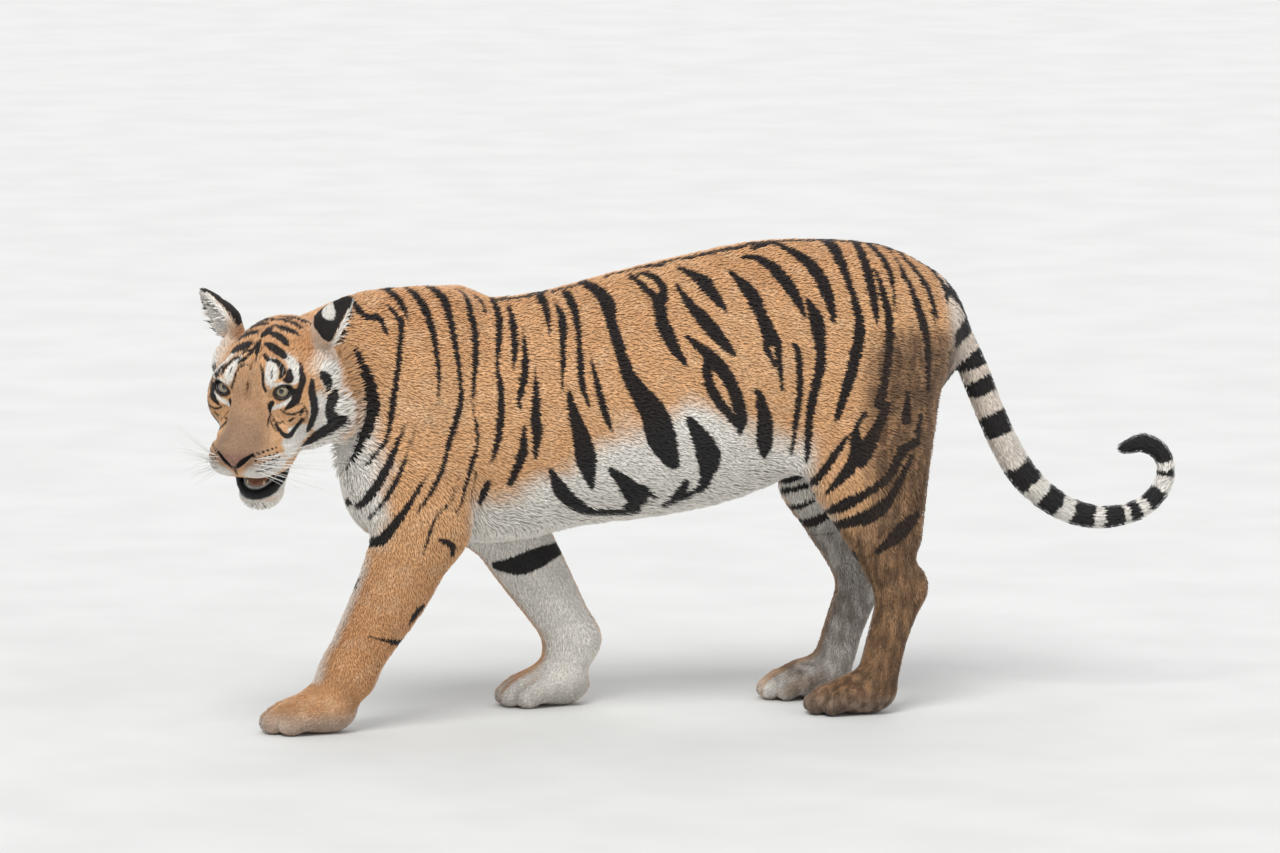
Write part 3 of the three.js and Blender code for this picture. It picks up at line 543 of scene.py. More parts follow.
    def head_masses(self) -> list[Limb | Ball | Ear]:
        """Skull, brow, cheeks, muzzle, jaw, ruff and ears."""
        masses: list[Limb | Ball | Ear] = [
            head_ball((-98, 0, -12), (112, 98, 84), 35),
            head_ball((-165, 0, -14), (80, 92, 72), 50),
            head_ball((-38, 0, 0), (56, 68, 44), 30),
            head_limb([(-20, 0, -28, 50), (40, 0, -60, 47), (92, 0, -92, 44)], 22),
            head_ball((58, 0, -108), (74, 66, 48), 22),
            head_ball((60, 0, -220), (38, 44, 32), 14),
            head_ball((114, 0, -88), (22, 38, 25), 9),
        ]
        for s in (-1, 1):
            masses += [
                head_ball((-30, s * 62, 12), (36, 32, 22), 18),
                head_ball((86, s * 37, -110), (46, 41, 38), 14),
                head_ball((26, s * 56, -118), (66, 32, 50), 26),
                head_ball((-66, s * 80, -52), (84, 52, 66), 34),
                head_ball((-92, s * 74, -110), (74, 62, 78), 34),
                head_ball((-116, s * 106, -112), (50, 54, 90), 30),
                head_ball((-122, s * 112, -30), (44, 36, 58), 30),
                head_ball((-95, s * 60, -132), (54, 42, 50), 26),
                head_limb(
                    [(-90, s * 46, -128, 31), (-10, s * 31, -170, 26), (46, s * 17, -212, 29)], 22
                ),
            ]
        return masses + list(EARS.values())

    def outline(self, points: Array) -> Array:
        """The field out to the tips of the coat: every mass melted together, less the mouth.

        Args:
            points: places (mm).

        Returns:
            Signed distances, negative inside.
        """
        result = np.full(len(points), 200.0)
        for mass in self.masses:
            reach = mass.blend + 60
            near = np.nonzero(np.all((points > mass.low - reach) & (points < mass.high + reach), axis=1))[0]
            if len(near):
                result[near] = added(result[near], mass, points[near])
        near = np.nonzero(norm(points - self.mouth.centre) < 130)[0]
        result[near] = less(result[near], self.mouth, points[near])
        return result

    def skin(self, points: Array) -> Array:
        """The field of the skin: the outline drawn in by the coat's depth, then the face's details.

        Args:
            points: places (mm).

        Returns:
            Signed distances, negative inside.
        """
        parts = []
        for start in range(0, len(points), 300_000):
            part = points[start : start + 300_000]
            value = self.outline(part) + coat_depth(part)
            value = self.details.carve(part, value)
            parts.append(smooth_max(value, 0.6 - part[:, 2], self.floor_edge))
        return np.concatenate(parts)


def coat_depth(points: Array) -> Array:
    """Depth of the coat (mm).

    Deepest on the ruff and belly, thinner down the legs, thinnest on muzzle, ears and toes; each zone is
    blended into the next with smooth steps.

    Args:
        points: places (mm).

    Returns:
        One depth each.
    """
    x, y, z = points.T
    depth = np.full(len(points), 7.0)
    belly = ease(z, 620, 500) * ease(np.abs(y), 150, 90)
    belly *= ease(x, -520, -420) * ease(x, 350, 260)
    depth = mix(depth, 11.0, belly)
    on_leg = ease(z, 470, 330)
    depth = mix(depth, 5.0, on_leg)
    depth = mix(depth, 3.4, ease(z, 130, 70))
    depth = mix(depth, 6.5, ease(x, 610, 680))
    own = HEAD.into(points)
    from_nose = norm(own - np.array([130.0, 0.0, -85.0]))
    face = 0.9 + 5.6 * ease(from_nose, 30, 300)
    ruff = ease(own[:, 2], 10, -60) * ease(np.abs(own[:, 1]), 78, 118)
    ruff = np.maximum(ruff, ease(own[:, 2], -140, -190) * ease(own[:, 0], 10, -40))
    face += 8.0 * ruff * ease(own[:, 0], -40, -90)
    chin = norm((own - np.array([72.0, 0.0, -232.0])) / np.array([40.0, 45.0, 26.0]))
    face += 2.5 * ease(chin, 1.2, 0.5)
    head = ease(norm((own - HEAD_MIDDLE) * [1, 1, 0.95]), 290, 215)
    depth = mix(depth, face, head)
    for ear in EARS.values():
        depth = mix(depth, 2.2, ease(norm(points - ear.centre), 82, 52))
    return depth


# ------------------------------------------------------------------ details of the face


@dataclass
class EyeSeat:
    """Where an eyeball sits and how its lids open, in head coordinates (mm)."""

    side: int
    radius: float = 21.0
    lid_radius: float = 24.6
    half_width: float = 18.6
    half_height: float = 13.0
    lean: float = 14.0

    def __post_init__(self) -> None:
        """Works out the axes of the opening: outward, towards the outer corner, and upward."""
        s = self.side
        self.centre = np.array([-17.0, s * 65.0, -7.0])
        self.outward = unit(np.array([0.80, s * 0.40, 0.42]))
        level = unit(np.cross([0, 0, 1.0], self.outward)) * s
        upward = unit(np.cross(self.outward, level)) * s
        lean = math.radians(self.lean)
        self.along = level * math.cos(lean) + upward * math.sin(lean)
        self.upward = upward * math.cos(lean) - level * math.sin(lean)
        self.gaze = unit(np.array([0.82, 0.24 if s > 0 else 0.12, 0.50]))
        square = self.half_width**2 + self.half_height**2
        self.lens_radius = square / (2 * self.half_height)

    def own(self, points: Array) -> Array:
        """Offsets from the eye's middle along outward, along and upward."""
        return (points - self.centre) @ np.stack([self.outward, self.along, self.upward]).T

    def opening(self, points: Array) -> Array:
        """Field of the almond opening: inside both of two offset circles and before the eyeball.

        Args:
            points: places in head coordinates.

        Returns:
            Signed distances, negative in the opening.
        """
        offset = self.own(points)
        shift = self.lens_radius - self.half_height
        upper = np.hypot(offset[:, 1], offset[:, 2] + shift) - self.lens_radius
        lower = np.hypot(offset[:, 1], offset[:, 2] - shift) - self.lens_radius
        return np.maximum(smooth_max(upper, lower, 5.0), 5.0 - offset[:, 0])

    def rim(self, count: int, radius: float) -> Array:
        """A loop round the opening on a sphere, its corners drawn out by a power of the sine.

        Args:
            count: points in the loop.
            radius: the sphere's radius.

        Returns:
            Places in head coordinates.
        """
        angle = circle(count)
        along = self.half_width * np.cos(angle)
        upward = self.half_height * np.sign(np.sin(angle)) * np.abs(np.sin(angle)) ** 1.25
        outward = np.sqrt(np.maximum(radius**2 - along**2 - upward**2, 0.0))
        return (
            self.centre
            + outward[:, None] * self.outward
            + along[:, None] * self.along
            + upward[:, None] * self.upward
        )


EYES = {"left": EyeSeat(1), "right": EyeSeat(-1)}


@dataclass
class FaceDetails:
    """Sockets, lids, nostrils, the split lip, folds and the lower lip, in the face's skin."""

    reach: float = 260.0
    lid_edge: float = 1.4

    def __post_init__(self) -> None:
        """Builds the small masses that are added to and cut from the face."""
        sides = (-1, 1)
        tear = [[(18, s * 42, -20, 2.6), (22, s * 43, -40, 2.4), (26, s * 44, -58, 1.2)] for s in sides]
        pad = [[(92, s * 62, -66, 2), (62, s * 76, -84, 4.5), (34, s * 84, -104, 2)] for s in sides]
        brow = [(24, 0, -2, 3), (-20, 0, 36, 4), (-70, 0, 66, 2)]
        nostrils = [
            [(137, s * 7, -101, 2.6), (133, s * 16, -92, 5.4), (126, s * 27, -85, 5), (116, s * 38, -80, 2.6)]
            for s in sides
        ]
        split = [(138, 0, -99, 1.6), (137, 0, -112, 2.4), (132, 0, -128, 2.6)]
        lip = [
            (16, 52, -176, 6), (46, 48, -190, 8.5), (76, 27, -201, 8.5), (86, 0, -204, 8.5),
            (76, -27, -201, 8.5), (46, -48, -190, 8.5), (16, -52, -176, 6),
        ]
        self.hollows = [head_ball((10, s * 67, -4), (19, 24, 17), 9) for s in sides]
        self.hollows += [head_limb(rows, 5) for rows in tear] + [head_limb(rows, 9) for rows in pad]
        self.hollows.append(head_limb(brow, 16))
        self.lids = [Ball(HEAD.out(eye.centre), (eye.lid_radius,) * 3, 7) for eye in EYES.values()]
        self.wings = [head_limb([(112, s * 26, -74, 8), (117, s * 20, -70, 7)], 9) for s in sides]
        self.nose_slits = [head_limb(rows, 3) for rows in nostrils] + [head_limb(split, 4)]
        self.lower_lip = head_limb(lip, 6)

    def carve(self, points: Array, value: Array) -> Array:
        """Adds the details to the field of the face.

        Args:
            points: places (mm).
            value: the field there.

        Returns:
            The field with lids, openings, nostrils, grooves and lip.
        """
        near = np.nonzero(norm(points - HEAD.out((50, 0, -60))) < self.reach)[0]
        if not len(near):
            return value
        spot = points[near]
        own = HEAD.into(spot)
        face = value[near]
        for mass in self.hollows:
            face = less(face, mass, spot)
        for lid, eye in zip(self.lids, EYES.values()):
            face = smooth_max(added(face, lid, spot), -eye.opening(own), self.lid_edge)
        for mass in self.wings:
            face = added(face, mass, spot)
        for mass in self.nose_slits:
            face = less(face, mass, spot)
        value = value.copy()
        value[near] = added(face, self.lower_lip, spot)
        return value


# ------------------------------------------------------------------ meshing the skin


@dataclass
class WarpedGrid:
    """A grid that is three times finer round the face, drawn out smoothly towards the tail (mm)."""

    cell: float = CELL
    fine: float = 0.33
    near: float = 450.0
    far: float = 900.0
    block: int = 4

    def __post_init__(self) -> None:
        """Tabulates the reach: its slope is fine up to near and rises smoothly to 1 at far."""
        self.centre = HEAD.out(HEAD_MIDDLE)
        self.steps = np.linspace(0, 4000, 8001)
        slope = mix(self.fine, 1.0, ease(self.steps, self.near, self.far))
        gap = self.steps[1] - self.steps[0]
        self.reach = np.concatenate([[0.0], np.cumsum(0.5 * (slope[1:] + slope[:-1]) * gap)])

    def world(self, grid_points: Array) -> Array:
        """Grid space to the walking frame: same direction from the centre, tabulated reach."""
        length = norm(grid_points)
        reach = np.interp(length, self.steps, self.reach)
        return self.centre + grid_points * (reach / (length + TINY))[:, None]

    def inverse(self, points: Array) -> Array:
        """The walking frame to grid space."""
        offset = points - self.centre
        length = norm(offset)
        return offset * (np.interp(length, self.reach, self.steps) / (length + TINY))[:, None]

    def sample(self, form: Callable[[Array], Array], low: Array, high: Array) -> tuple[Array, Array]:
        """Distances at the grid's nodes.

        Every fourth node is tried first, and only blocks with a corner near the surface are filled in.

        Args:
            form: the field of distance.
            low: lowest corner of the box in the walking frame.
            high: highest corner.

        Returns:
            The distances on the grid and its first node in grid space.
        """
        lattice = np.stack(np.meshgrid(*[np.linspace(low[i], high[i], 9) for i in range(3)]), -1)
        mapped = self.inverse(lattice.reshape(-1, 3))
        first = mapped.min(axis=0) - self.cell
        counts = np.ceil((mapped.max(axis=0) + self.cell - first) / self.cell).astype(int)
        counts = (counts // self.block + 1) * self.block + 1
        axes = [first[i] + self.cell * np.arange(counts[i]) for i in range(3)]
        coarse_axes = [a[:: self.block] for a in axes]
        coarse = self.world(np.stack(np.meshgrid(*coarse_axes, indexing="ij"), -1).reshape(-1, 3))
        coarse_size = [len(a) for a in coarse_axes]
        value = form(coarse).reshape(coarse_size)
        distance = norm(coarse - self.centre).reshape(coarse_size)
        local = mix(self.fine, 1.0, ease(distance, 120, 420))
        close = np.abs(value) < local * self.cell * self.block * 1.25
        blocks = np.zeros([n - 1 for n in coarse_size], bool)
        for i, j, k in np.ndindex(2, 2, 2):
            blocks |= close[i : i + blocks.shape[0], j : j + blocks.shape[1], k : k + blocks.shape[2]]
        filled = np.where(value < 0, -99.0, 99.0).astype(np.float32)
        for axis in range(3):
            filled = np.repeat(filled, self.block, axis=axis)
            blocks = np.repeat(blocks, self.block, axis=axis)
        filled = filled[: counts[0], : counts[1], : counts[2]].copy()
        mask = np.zeros(counts, bool)
        for i, j, k in np.ndindex(2, 2, 2):
            size = blocks.shape
            mask[i : i + size[0], j : j + size[1], k : k + size[2]] |= blocks
        index = np.nonzero(mask)
        nodes = np.stack([axes[i][index[i]] for i in range(3)], -1)
        filled[index] = form(self.world(nodes))
        return filled, first

    def mesh(self, form: Callable[[Array], Array], low: Array, high: Array) -> tuple[Array, Array]:
        """The field's zero surface as quads.

        One vertex in each cell that the surface crosses, at the mean of the crossings of its edges, and one
        quad round each grid edge that is crossed; the vertices are then moved down the field's slope.

        Args:
            form: the field of distance.
            low: lowest corner of the box.
            high: highest corner.

        Returns:
            Vertices in the walking frame and quads of vertex numbers.
        """
        values, first = self.sample(form, low, high)
        inside = values < 0
        size = np.array(values.shape)
        count = np.zeros(size - 1, np.int8)
        for i, j, k in np.ndindex(2, 2, 2):
            count += inside[i : size[0] - 1 + i, j : size[1] - 1 + j, k : size[2] - 1 + k]
        active = np.nonzero((count > 0) & (count < 8))
        number = np.full(size - 1, -1, np.int32)
        number[active] = np.arange(len(active[0]))
        base = np.stack(active, -1)
        total = np.zeros((len(base), 3))
        crossings = np.zeros(len(base))
        for corner in np.ndindex(2, 2, 2):
            for axis in range(3):
                if corner[axis]:
                    continue
                start = base + corner
                end = start.copy()
                end[:, axis] += 1
                a, b = values[tuple(start.T)], values[tuple(end.T)]
                crossed = (a < 0) != (b < 0)
                spot = np.tile(np.array(corner, float), (len(base), 1))
                spot[:, axis] += np.where(crossed, a / np.where(crossed, a - b, 1), 0)
                total[crossed] += spot[crossed]
                crossings += crossed
        vertices = self.world(first + self.cell * (base + total / crossings[:, None]))
        quads = []
        for axis in range(3):
            u, v = (axis + 1) % 3, (axis + 2) % 3
            lower, upper = [slice(None)] * 3, [slice(None)] * 3
            lower[axis], upper[axis] = slice(0, -1), slice(1, None)
            for other in (u, v):
                lower[other] = upper[other] = slice(1, -1)
            a, b = inside[tuple(lower)], inside[tuple(upper)]
            crossed = np.nonzero(a != b)
            node = np.stack(crossed, -1)
            node[:, u] += 1
            node[:, v] += 1
            ring = []
            for du, dv in ((1, 1), (0, 1), (0, 0), (1, 0)):
                cell = node.copy()
                cell[:, u] -= du
                cell[:, v] -= dv
                ring.append(number[tuple(cell.T)])
            ring = np.stack(ring, -1)
            outside = ~a[crossed]
            ring[outside] = ring[outside][:, ::-1]
            quads.append(ring)
        return onto_surface(form, vertices), np.concatenate(quads)


def slope_of(form: Callable[[Array], Array], points: Array, reach: float = 0.8) -> Array:
    """The field's slope from four samples at the corners of a small tetrahedron.

    Args:
        form: the field of distance.
        points: places (mm).
        reach: how far off the samples are taken.

    Returns:
        One slope each.
    """
    corners = np.array([[1, 1, 1], [1, -1, -1], [-1, 1, -1], [-1, -1, 1]], float)
    total = np.zeros_like(points)
    for corner in corners:
        total += corner * form(points + corner * reach)[:, None]
    return total / (4 * reach)


def onto_surface(form: Callable[[Array], Array], points: Array, passes: int = 2) -> Array:
    """Moves points along the slope by the field's value over the slope's square, a few mm at most.

    Args:
        form: the field of distance.
        points: places (mm).
        passes: how often they are moved.

    Returns:
        The moved points.
    """
    for _ in range(passes):
        value = form(points)
        slope = slope_of(form, points)
        step = value / np.maximum((slope**2).sum(axis=1), 0.2)
        points = points - slope * np.clip(step, -6, 6)[:, None]
    return points


# ------------------------------------------------------------------ markings


class Seen(Enum):
    """The side that a stroke is given from: which two of its coordinates are written down."""

    SIDE = "along the body and height, on the outside"
    INNER = "along the body and height, on the inner side of a leg"
    BACK = "along the body and across, from above"
    HEAD = "forward, left and up on the head, moved onto its skin"


# Strokes of the left side: along the body, height, half width.
NECK_AND_SHOULDER = [
    [(-662, 806, 5), (-636, 748, 11), (-626, 690, 13), (-640, 640, 11), (-682, 552, 4)],
    [(-579, 669, 1.5), (-631, 566, 1.5)],
    [(-648, 897, 5), (-640, 878, 8), (-622, 868, 7), (-603, 867, 7), (-590, 835, 2)],
    [(-580, 890, 3), (-563, 868, 5), (-560, 842, 6), (-593, 660, 5), (-600, 630, 4), (-617, 600, 4),
     (-660, 550, 2)],
    [(-585, 922, 7), (-568, 915, 8), (-552, 896, 7), (-541, 860, 2)],
    [(-541, 930, 3), (-510, 898, 8), (-491, 812, 5), (-488, 712, 3), (-506, 655, 1.5)],
    [(-492, 938, 8), (-465, 905, 9), (-458, 885, 8), (-441, 742, 5), (-441, 682, 6), (-487, 549, 5),
     (-542, 467, 3)],
    [(-420, 912, 6), (-410, 895, 8), (-402, 812, 8), (-412, 692, 2.5), (-402, 620, 4), (-414, 560, 4.5),
     (-440, 490, 3), (-460, 460, 2)],
    [(-404, 541, 2), (-426, 455, 1.5)],
    [(-385, 900, 2), (-374, 892, 3), (-369, 862, 2.5)],
    [(-345, 893, 4), (-341, 857, 7), (-356, 766, 3.5), (-350, 716, 6), (-357, 627, 7), (-376, 556, 2)],
    [(-315, 893, 3), (-313, 828, 7), (-322, 750, 2)],
    [(-292, 840, 2), (-298, 752, 7), (-312, 703, 6), (-313, 677, 3)],
    [(-275, 762, 2), (-279, 658, 10), (-277, 626, 10), (-281, 574, 4)],
    [(-305, 640, 3), (-309, 580, 10), (-333, 518, 6)],
    [(-378, 524, 5), (-386, 500, 8), (-394, 478, 5)],
    [(-558, 660, 2), (-618, 533, 9), (-652, 480, 7), (-660, 455, 5)],
    [(-533, 659, 2), (-586, 531, 5), (-634, 454, 3)],
    [(-507, 563, 2), (-599, 424, 10), (-623, 401, 10), (-640, 392, 6)],
    [(-464, 492, 2), (-508, 448, 4), (-530, 378, 2)],
    [(-444, 540, 1.5), (-470, 485, 2)],
]
FORELEG = [
    [(-495, 408, 5), (-478, 402, 6), (-467, 392, 7), (-466, 375, 6)],
    [(-675, 310, 2), (-655, 320, 3)],
    [(-556, 232, 4), (-547, 244, 9), (-538, 256, 10), (-528, 264, 6)],
    [(-568, 188, 8), (-645, 206, 2)],
]
FLANK = [
    [(-262, 903, 7), (-240, 893, 9), (-238, 812, 2)],
    [(-215, 882, 3), (-209, 862, 7), (-210, 835, 8), (-222, 714, 3)],
    [(-190, 905, 7), (-184, 890, 9), (-178, 848, 6), (-180, 735, 7), (-168, 680, 2.5)],
    [(-161, 795, 2), (-137, 680, 8), (-119, 627, 3)],
    [(-145, 925, 8), (-117, 900, 15), (-109, 874, 15), (-108, 850, 11), (-81, 742, 14), (-32, 665, 27),
     (-12, 610, 31), (12, 561, 16), (24, 549, 6)],
    [(-48, 938, 5), (-4, 890, 10)],
    [(-30, 940, 5), (-10, 940, 7), (7, 925, 8), (10, 905, 9), (0, 888, 13)],
    [(-2, 889, 13), (-3, 850, 13), (5, 830, 15), (22, 790, 11), (46, 758, 3)],
    [(40, 921, 3), (60, 884, 10), (90, 849, 15), (121, 810, 13), (149, 778, 3)],
    [(52, 953, 4), (92, 932, 14), (103, 918, 15), (141, 864, 3)],
    [(48, 819, 4), (98, 773, 14), (136, 725, 14), (161, 650, 12), (158, 612, 4)],
    [(95, 773, 12), (87, 752, 10), (98, 702, 11), (150, 636, 8)],
    [(-206, 712, 3), (-204, 683, 8), (-175, 583, 22), (-169, 555, 19), (-154, 503, 4)],
    [(-247, 545, 4), (-222, 500, 16), (-172, 460, 13), (-135, 447, 11), (-52, 447, 14)],
    [(-122, 547, 4), (-66, 495, 22), (-52, 475, 22), (-60, 455, 18)],
    [(-50, 500, 12), (-12, 478, 4)],
    [(41, 651, 3), (53, 638, 10), (92, 570, 26), (93, 520, 14), (88, 500, 12), (70, 485, 9), (15, 462, 10)],
    [(48, 510, 8), (42, 490, 12), (30, 475, 12)],
    [(192, 707, 3), (202, 688, 9), (214, 633, 17), (215, 603, 18), (217, 580, 14), (218, 562, 5)],
]
RUMP = [
    [(158, 945, 4), (194, 903, 15), (213, 857, 13), (230, 812, 18)],
    [(222, 800, 9), (219, 790, 7), (236, 755, 4)],
    [(243, 805, 9), (252, 703, 3)],
    [(280, 796, 4), (288, 778, 7), (291, 700, 7), (277, 566, 5)],
    [(193, 972, 5), (215, 972, 8), (240, 960, 12), (258, 943, 13), (286, 902, 11), (305, 858, 4)],
    [(311, 893, 3), (330, 850, 14), (338, 800, 13), (338, 750, 10), (317, 661, 9), (312, 548, 5)],
    [(218, 990, 6), (257, 997, 6), (282, 992, 8), (318, 968, 14), (344, 933, 14), (362, 880, 10),
     (371, 838, 3)],
    [(363, 1005, 9), (382, 997, 13), (390, 985, 13), (402, 930, 7), (423, 845, 9), (414, 772, 12),
     (383, 673, 9), (371, 637, 4)],
    [(444, 995, 9), (449, 925, 10), (463, 822, 2)],
    [(470, 1000, 6), (495, 950, 8), (500, 865, 2)],
    [(465, 948, 3), (480, 880, 8), (488, 812, 9), (474, 715, 9), (462, 668, 12)],
    [(511, 985, 5), (564, 826, 10), (575, 690, 4)],
    [(535, 975, 5), (582, 905, 9), (597, 843, 3)],
    [(586, 858, 3), (604, 760, 3)],
    [(600, 945, 5), (627, 908, 9), (634, 888, 8), (630, 870, 4)],
]
THIGH = [
    [(391, 597, 5), (340, 517, 9), (322, 490, 5)],
    [(430, 648, 6), (415, 625, 6), (410, 600, 9), (414, 578, 16), (412, 555, 16), (352, 480, 4)],
    [(480, 665, 8), (432, 570, 16), (420, 545, 12)],
    [(548, 582, 8), (515, 570, 12), (482, 512, 10), (427, 477, 9), (388, 455, 13), (360, 437, 5)],
    [(553, 640, 6), (545, 585, 8)],
    [(535, 552, 6), (490, 474, 11), (455, 438, 17), (388, 411, 10), (376, 408, 5)],
    [(525, 690, 5), (520, 634, 12)],
    [(550, 425, 8), (515, 395, 18), (460, 352, 6)],
    [(420, 345, 6), (428, 330, 8)],
]
# Strokes that only the right side of the neck has.
FAR_NECK = [
    [(-648, 810, 3), (-662, 765, 8), (-676, 712, 8), (-690, 655, 4)],
    [(-712, 792, 3), (-724, 750, 7), (-730, 700, 5)],
    [(-762, 775, 3), (-772, 735, 6), (-776, 698, 3)],
]
# Inner sides of the legs: along the body, height, half width, on the right leg.
INNER_HIND = [
    [(280, 512, 5), (304, 518, 8), (345, 512, 8)],
    [(240, 466, 3), (262, 463, 6), (325, 476, 6), (350, 490, 6), (360, 506, 5)],
    [(250, 452, 4), (304, 447, 6), (360, 466, 5)],
    [(298, 420, 4), (317, 414, 6), (339, 415, 6), (376, 433, 4)],
    [(361, 381, 8), (377, 384, 11), (410, 403, 8)],
    [(385, 354, 2), (425, 361, 2)],
]
INNER_FORE = [
    [(-310, 306, 10), (-262, 310, 22), (-220, 326, 20), (-172, 338, 12)],
]
# The line along the spine: along the body, across, half width.
SPINE = [
    [(-335, -15, 7), (-262, -15, 7)],
    [(-210, -12, 7), (-145, -12, 7)],
    [(-95, -10, 6), (0, -10, 6)],
    [(-20, -12, 5), (30, -28, 5)],
    [(10, -14, 7), (80, -14, 7)],
    [(80, -20, 8), (200, -20, 8)],
    [(215, -12, 7), (620, 0, 10)],
]
# Black strokes of the head: forward, left, up, half width.
CROWN = [
    [(-196, -12, 62, 4), (-200, 15, 60, 8), (-206, 45, 50, 8), (-215, 70, 38, 4)],
    [(-171, -8, 61, 5), (-173, 19, 60, 8), (-168, 48, 52, 6), (-164, 62, 46, 2)],
    [(-172, -8, 61, 5), (-182, -35, 56, 6), (-186, -62, 46, 3)],
    [(-142, 2, 66, 5), (-140, 34, 61, 9), (-138, 56, 51, 5), (-136, 64, 46, 2)],
    [(-150, -20, 62, 5), (-155, -42, 56, 8), (-160, -68, 42, 6), (-164, -84, 34, 2)],
    [(-128, -2, 67, 8), (-116, 0, 67, 11), (-106, -4, 66, 8)],
    [(-114, 8, 66, 6), (-111, 25, 63, 9), (-104, 40, 59, 9), (-96, 52, 53, 4)],
    [(-118, -22, 65, 4), (-120, -48, 55, 8), (-126, -72, 42, 8), (-134, -90, 28, 3)],
    [(-82, 10, 63, 4), (-77, 22, 61, 9), (-72, 36, 57, 11), (-68, 52, 48, 9), (-67, 62, 41, 3)],
    [(-80, -20, 62, 4), (-76, -36, 57, 9), (-80, -58, 46, 9), (-90, -78, 30, 3)],
    [(-90, -5, 64, 3), (-72, -3, 58, 7), (-58, 0, 55, 7), (-46, 2, 52, 3)],
    [(-86, -8, 64, 2), (-66, -11, 58, 4), (-50, -16, 50, 4)],
    [(-60, -20, 56, 5), (-55, -28, 52, 5)],
    [(-50, 20, 53, 5), (-42, 30, 50, 5)],
    [(-38, 4, 47, 6), (-30, 9, 44, 4)],
    [(-40, -19, 47, 6), (-33, -30, 42, 5)],
    [(-20, -26, 37, 3), (-27, -14, 41, 3)],
    [(-22, 0, 40, 2.5), (-10, 2, 38, 2)],
    [(-98, 62, 45, 3), (-100, 80, 38, 2)],
    [(-76, 86, 28, 4), (-68, 94, 22, 4)],
    [(137, 2, -102, 2), (134, 0, -122, 2)],
]
# The same for strokes that the head has on both sides.
FACE = [
    [(-28, 19, 44, 2.5), (-14, 28, 36, 3), (0, 33, 30, 3), (8, 36, 20, 3), (10, 39, 8, 3)],
    [(-44, 36, 50, 4), (-46, 49, 42, 6), (-37, 61, 34, 7), (-26, 67, 29, 6), (-14, 67, 26, 4)],
    [(-24, 45, 36, 2), (-10, 48, 28, 2)],
    [(-44, 76, 31, 3), (-32, 79, 27, 7), (-20, 83, 21, 9), (-14, 76, 22, 5)],
    [(-62, 88, 18, 4), (-54, 94, 14, 8), (-46, 98, 8, 9), (-30, 100, 0, 8), (-16, 99, -10, 8),
     (-9, 98, -20, 6), (-6, 97, -30, 3)],
    [(-12, 93, 0, 5), (-6, 95, -14, 7), (0, 93, -22, 8), (12, 78, -32, 3)],
    [(-62, 110, -4, 4), (-52, 113, -12, 8), (-40, 116, -20, 10), (-33, 120, -38, 11),
     (-27, 120, -59, 11), (-21, 114, -76, 10), (-18, 106, -92, 8), (-17, 100, -104, 4)],
    [(-88, 124, -4, 6), (-90, 127, -16, 12), (-91, 129, -28, 12), (-88, 129, -42, 8)],
    [(-102, 136, -58, 8), (-92, 132, -68, 15), (-78, 127, -76, 17), (-70, 126, -88, 15),
     (-76, 129, -102, 10)],
    [(-102, 136, -126, 13), (-82, 130, -126, 17), (-63, 123, -124, 18), (-43, 114, -124, 17),
     (-30, 102, -132, 14), (-26, 86, -140, 11), (-16, 76, -150, 8)],
    [(30, 58, -58, 3), (38, 72, -79, 6), (30, 78, -88, 6), (16, 84, -87, 6), (1, 104, -62, 5)],
    [(2, 88, -52, 2.5), (14, 82, -58, 2.5)],
    [(30, 56, -50, 2), (26, 66, -58, 2)],
    [(-8, 100, -44, 4), (-3, 98, -50, 3)],
    [(10, 47, -20, 6), (17, 43, -29, 6), (21, 42, -40, 4), (34, 43, -46, 3), (47, 45, -57, 2)],
    [(137, 4, -104, 1.5), (136, 9, -96, 2.5), (131, 21, -87, 3), (123, 33, -82, 2.5), (110, 46, -79, 1.2)],
    [(123, 57, -105, 1.2), (92, 77, -108, 2)],
    [(128, 44, -112, 1.2), (116, 62, -114, 1.8), (98, 76, -117, 1.5)],
    [(18, 45, -41, 1.2), (22, 53, -58, 2), (30, 64, -69, 1.5)],
    [(14, 53, -42, 1.2), (18, 74, -66, 1.5)],
    [(12, 64, -34, 1.5), (14, 82, -42, 2.5), (6, 97, -44, 2.5), (-9, 110, -38, 1.5)],
    [(30, 44, -48, 1.5), (34, 50, -62, 2), (43, 62, -70, 1.5)],
    [(-10, 106, -29, 2), (-10, 112, -48, 2.5), (-5, 108, -66, 2)],
    [(-82, 133, -104, 9), (-72, 128, -110, 12), (-79, 128, -130, 12)],
    [(88, 4, -220, 1.5), (84, 5, -236, 1.5)],
    [(84, 16, -220, 1.5), (78, 18, -234, 1.2)],
]
# Rows of dots at the whiskers' roots: first and last dot.
WHISKER_ROWS = [
    ((119, 42, -82), (78, 76, -84)), ((122, 46, -91), (84, 78, -94)), ((120, 52, -100), (86, 79, -104)),
]
# White strokes on both sides of the head.
WHITE_FACE = [
    [(-42, 36, 49, 8), (-26, 44, 40, 13), (-12, 48, 32, 14), (-2, 46, 26, 9)],
    [(-68, 56, 45, 7), (-66, 70, 34, 12), (-52, 82, 26, 14), (-38, 88, 18, 12), (-22, 88, 14, 7)],
    [(2, 48, 14, 3), (2, 58, 20, 3.5), (-2, 72, 20, 3.5), (-10, 86, 12, 3.5)],
    [(16, 46, -30, 4), (2, 78, -24, 5), (-8, 92, -10, 4)],
    [(17, 82, -80, 7), (3, 96, -82, 10), (-10, 104, -94, 12)],
]
# White strokes on the left side of the body: along the body, height, half width.
WHITE_SIDE = [
    [(-608, 700, 6), (-606, 680, 8), (-614, 645, 7)],
    [(316, 535, 8), (322, 500, 12), (330, 470, 8)],
]
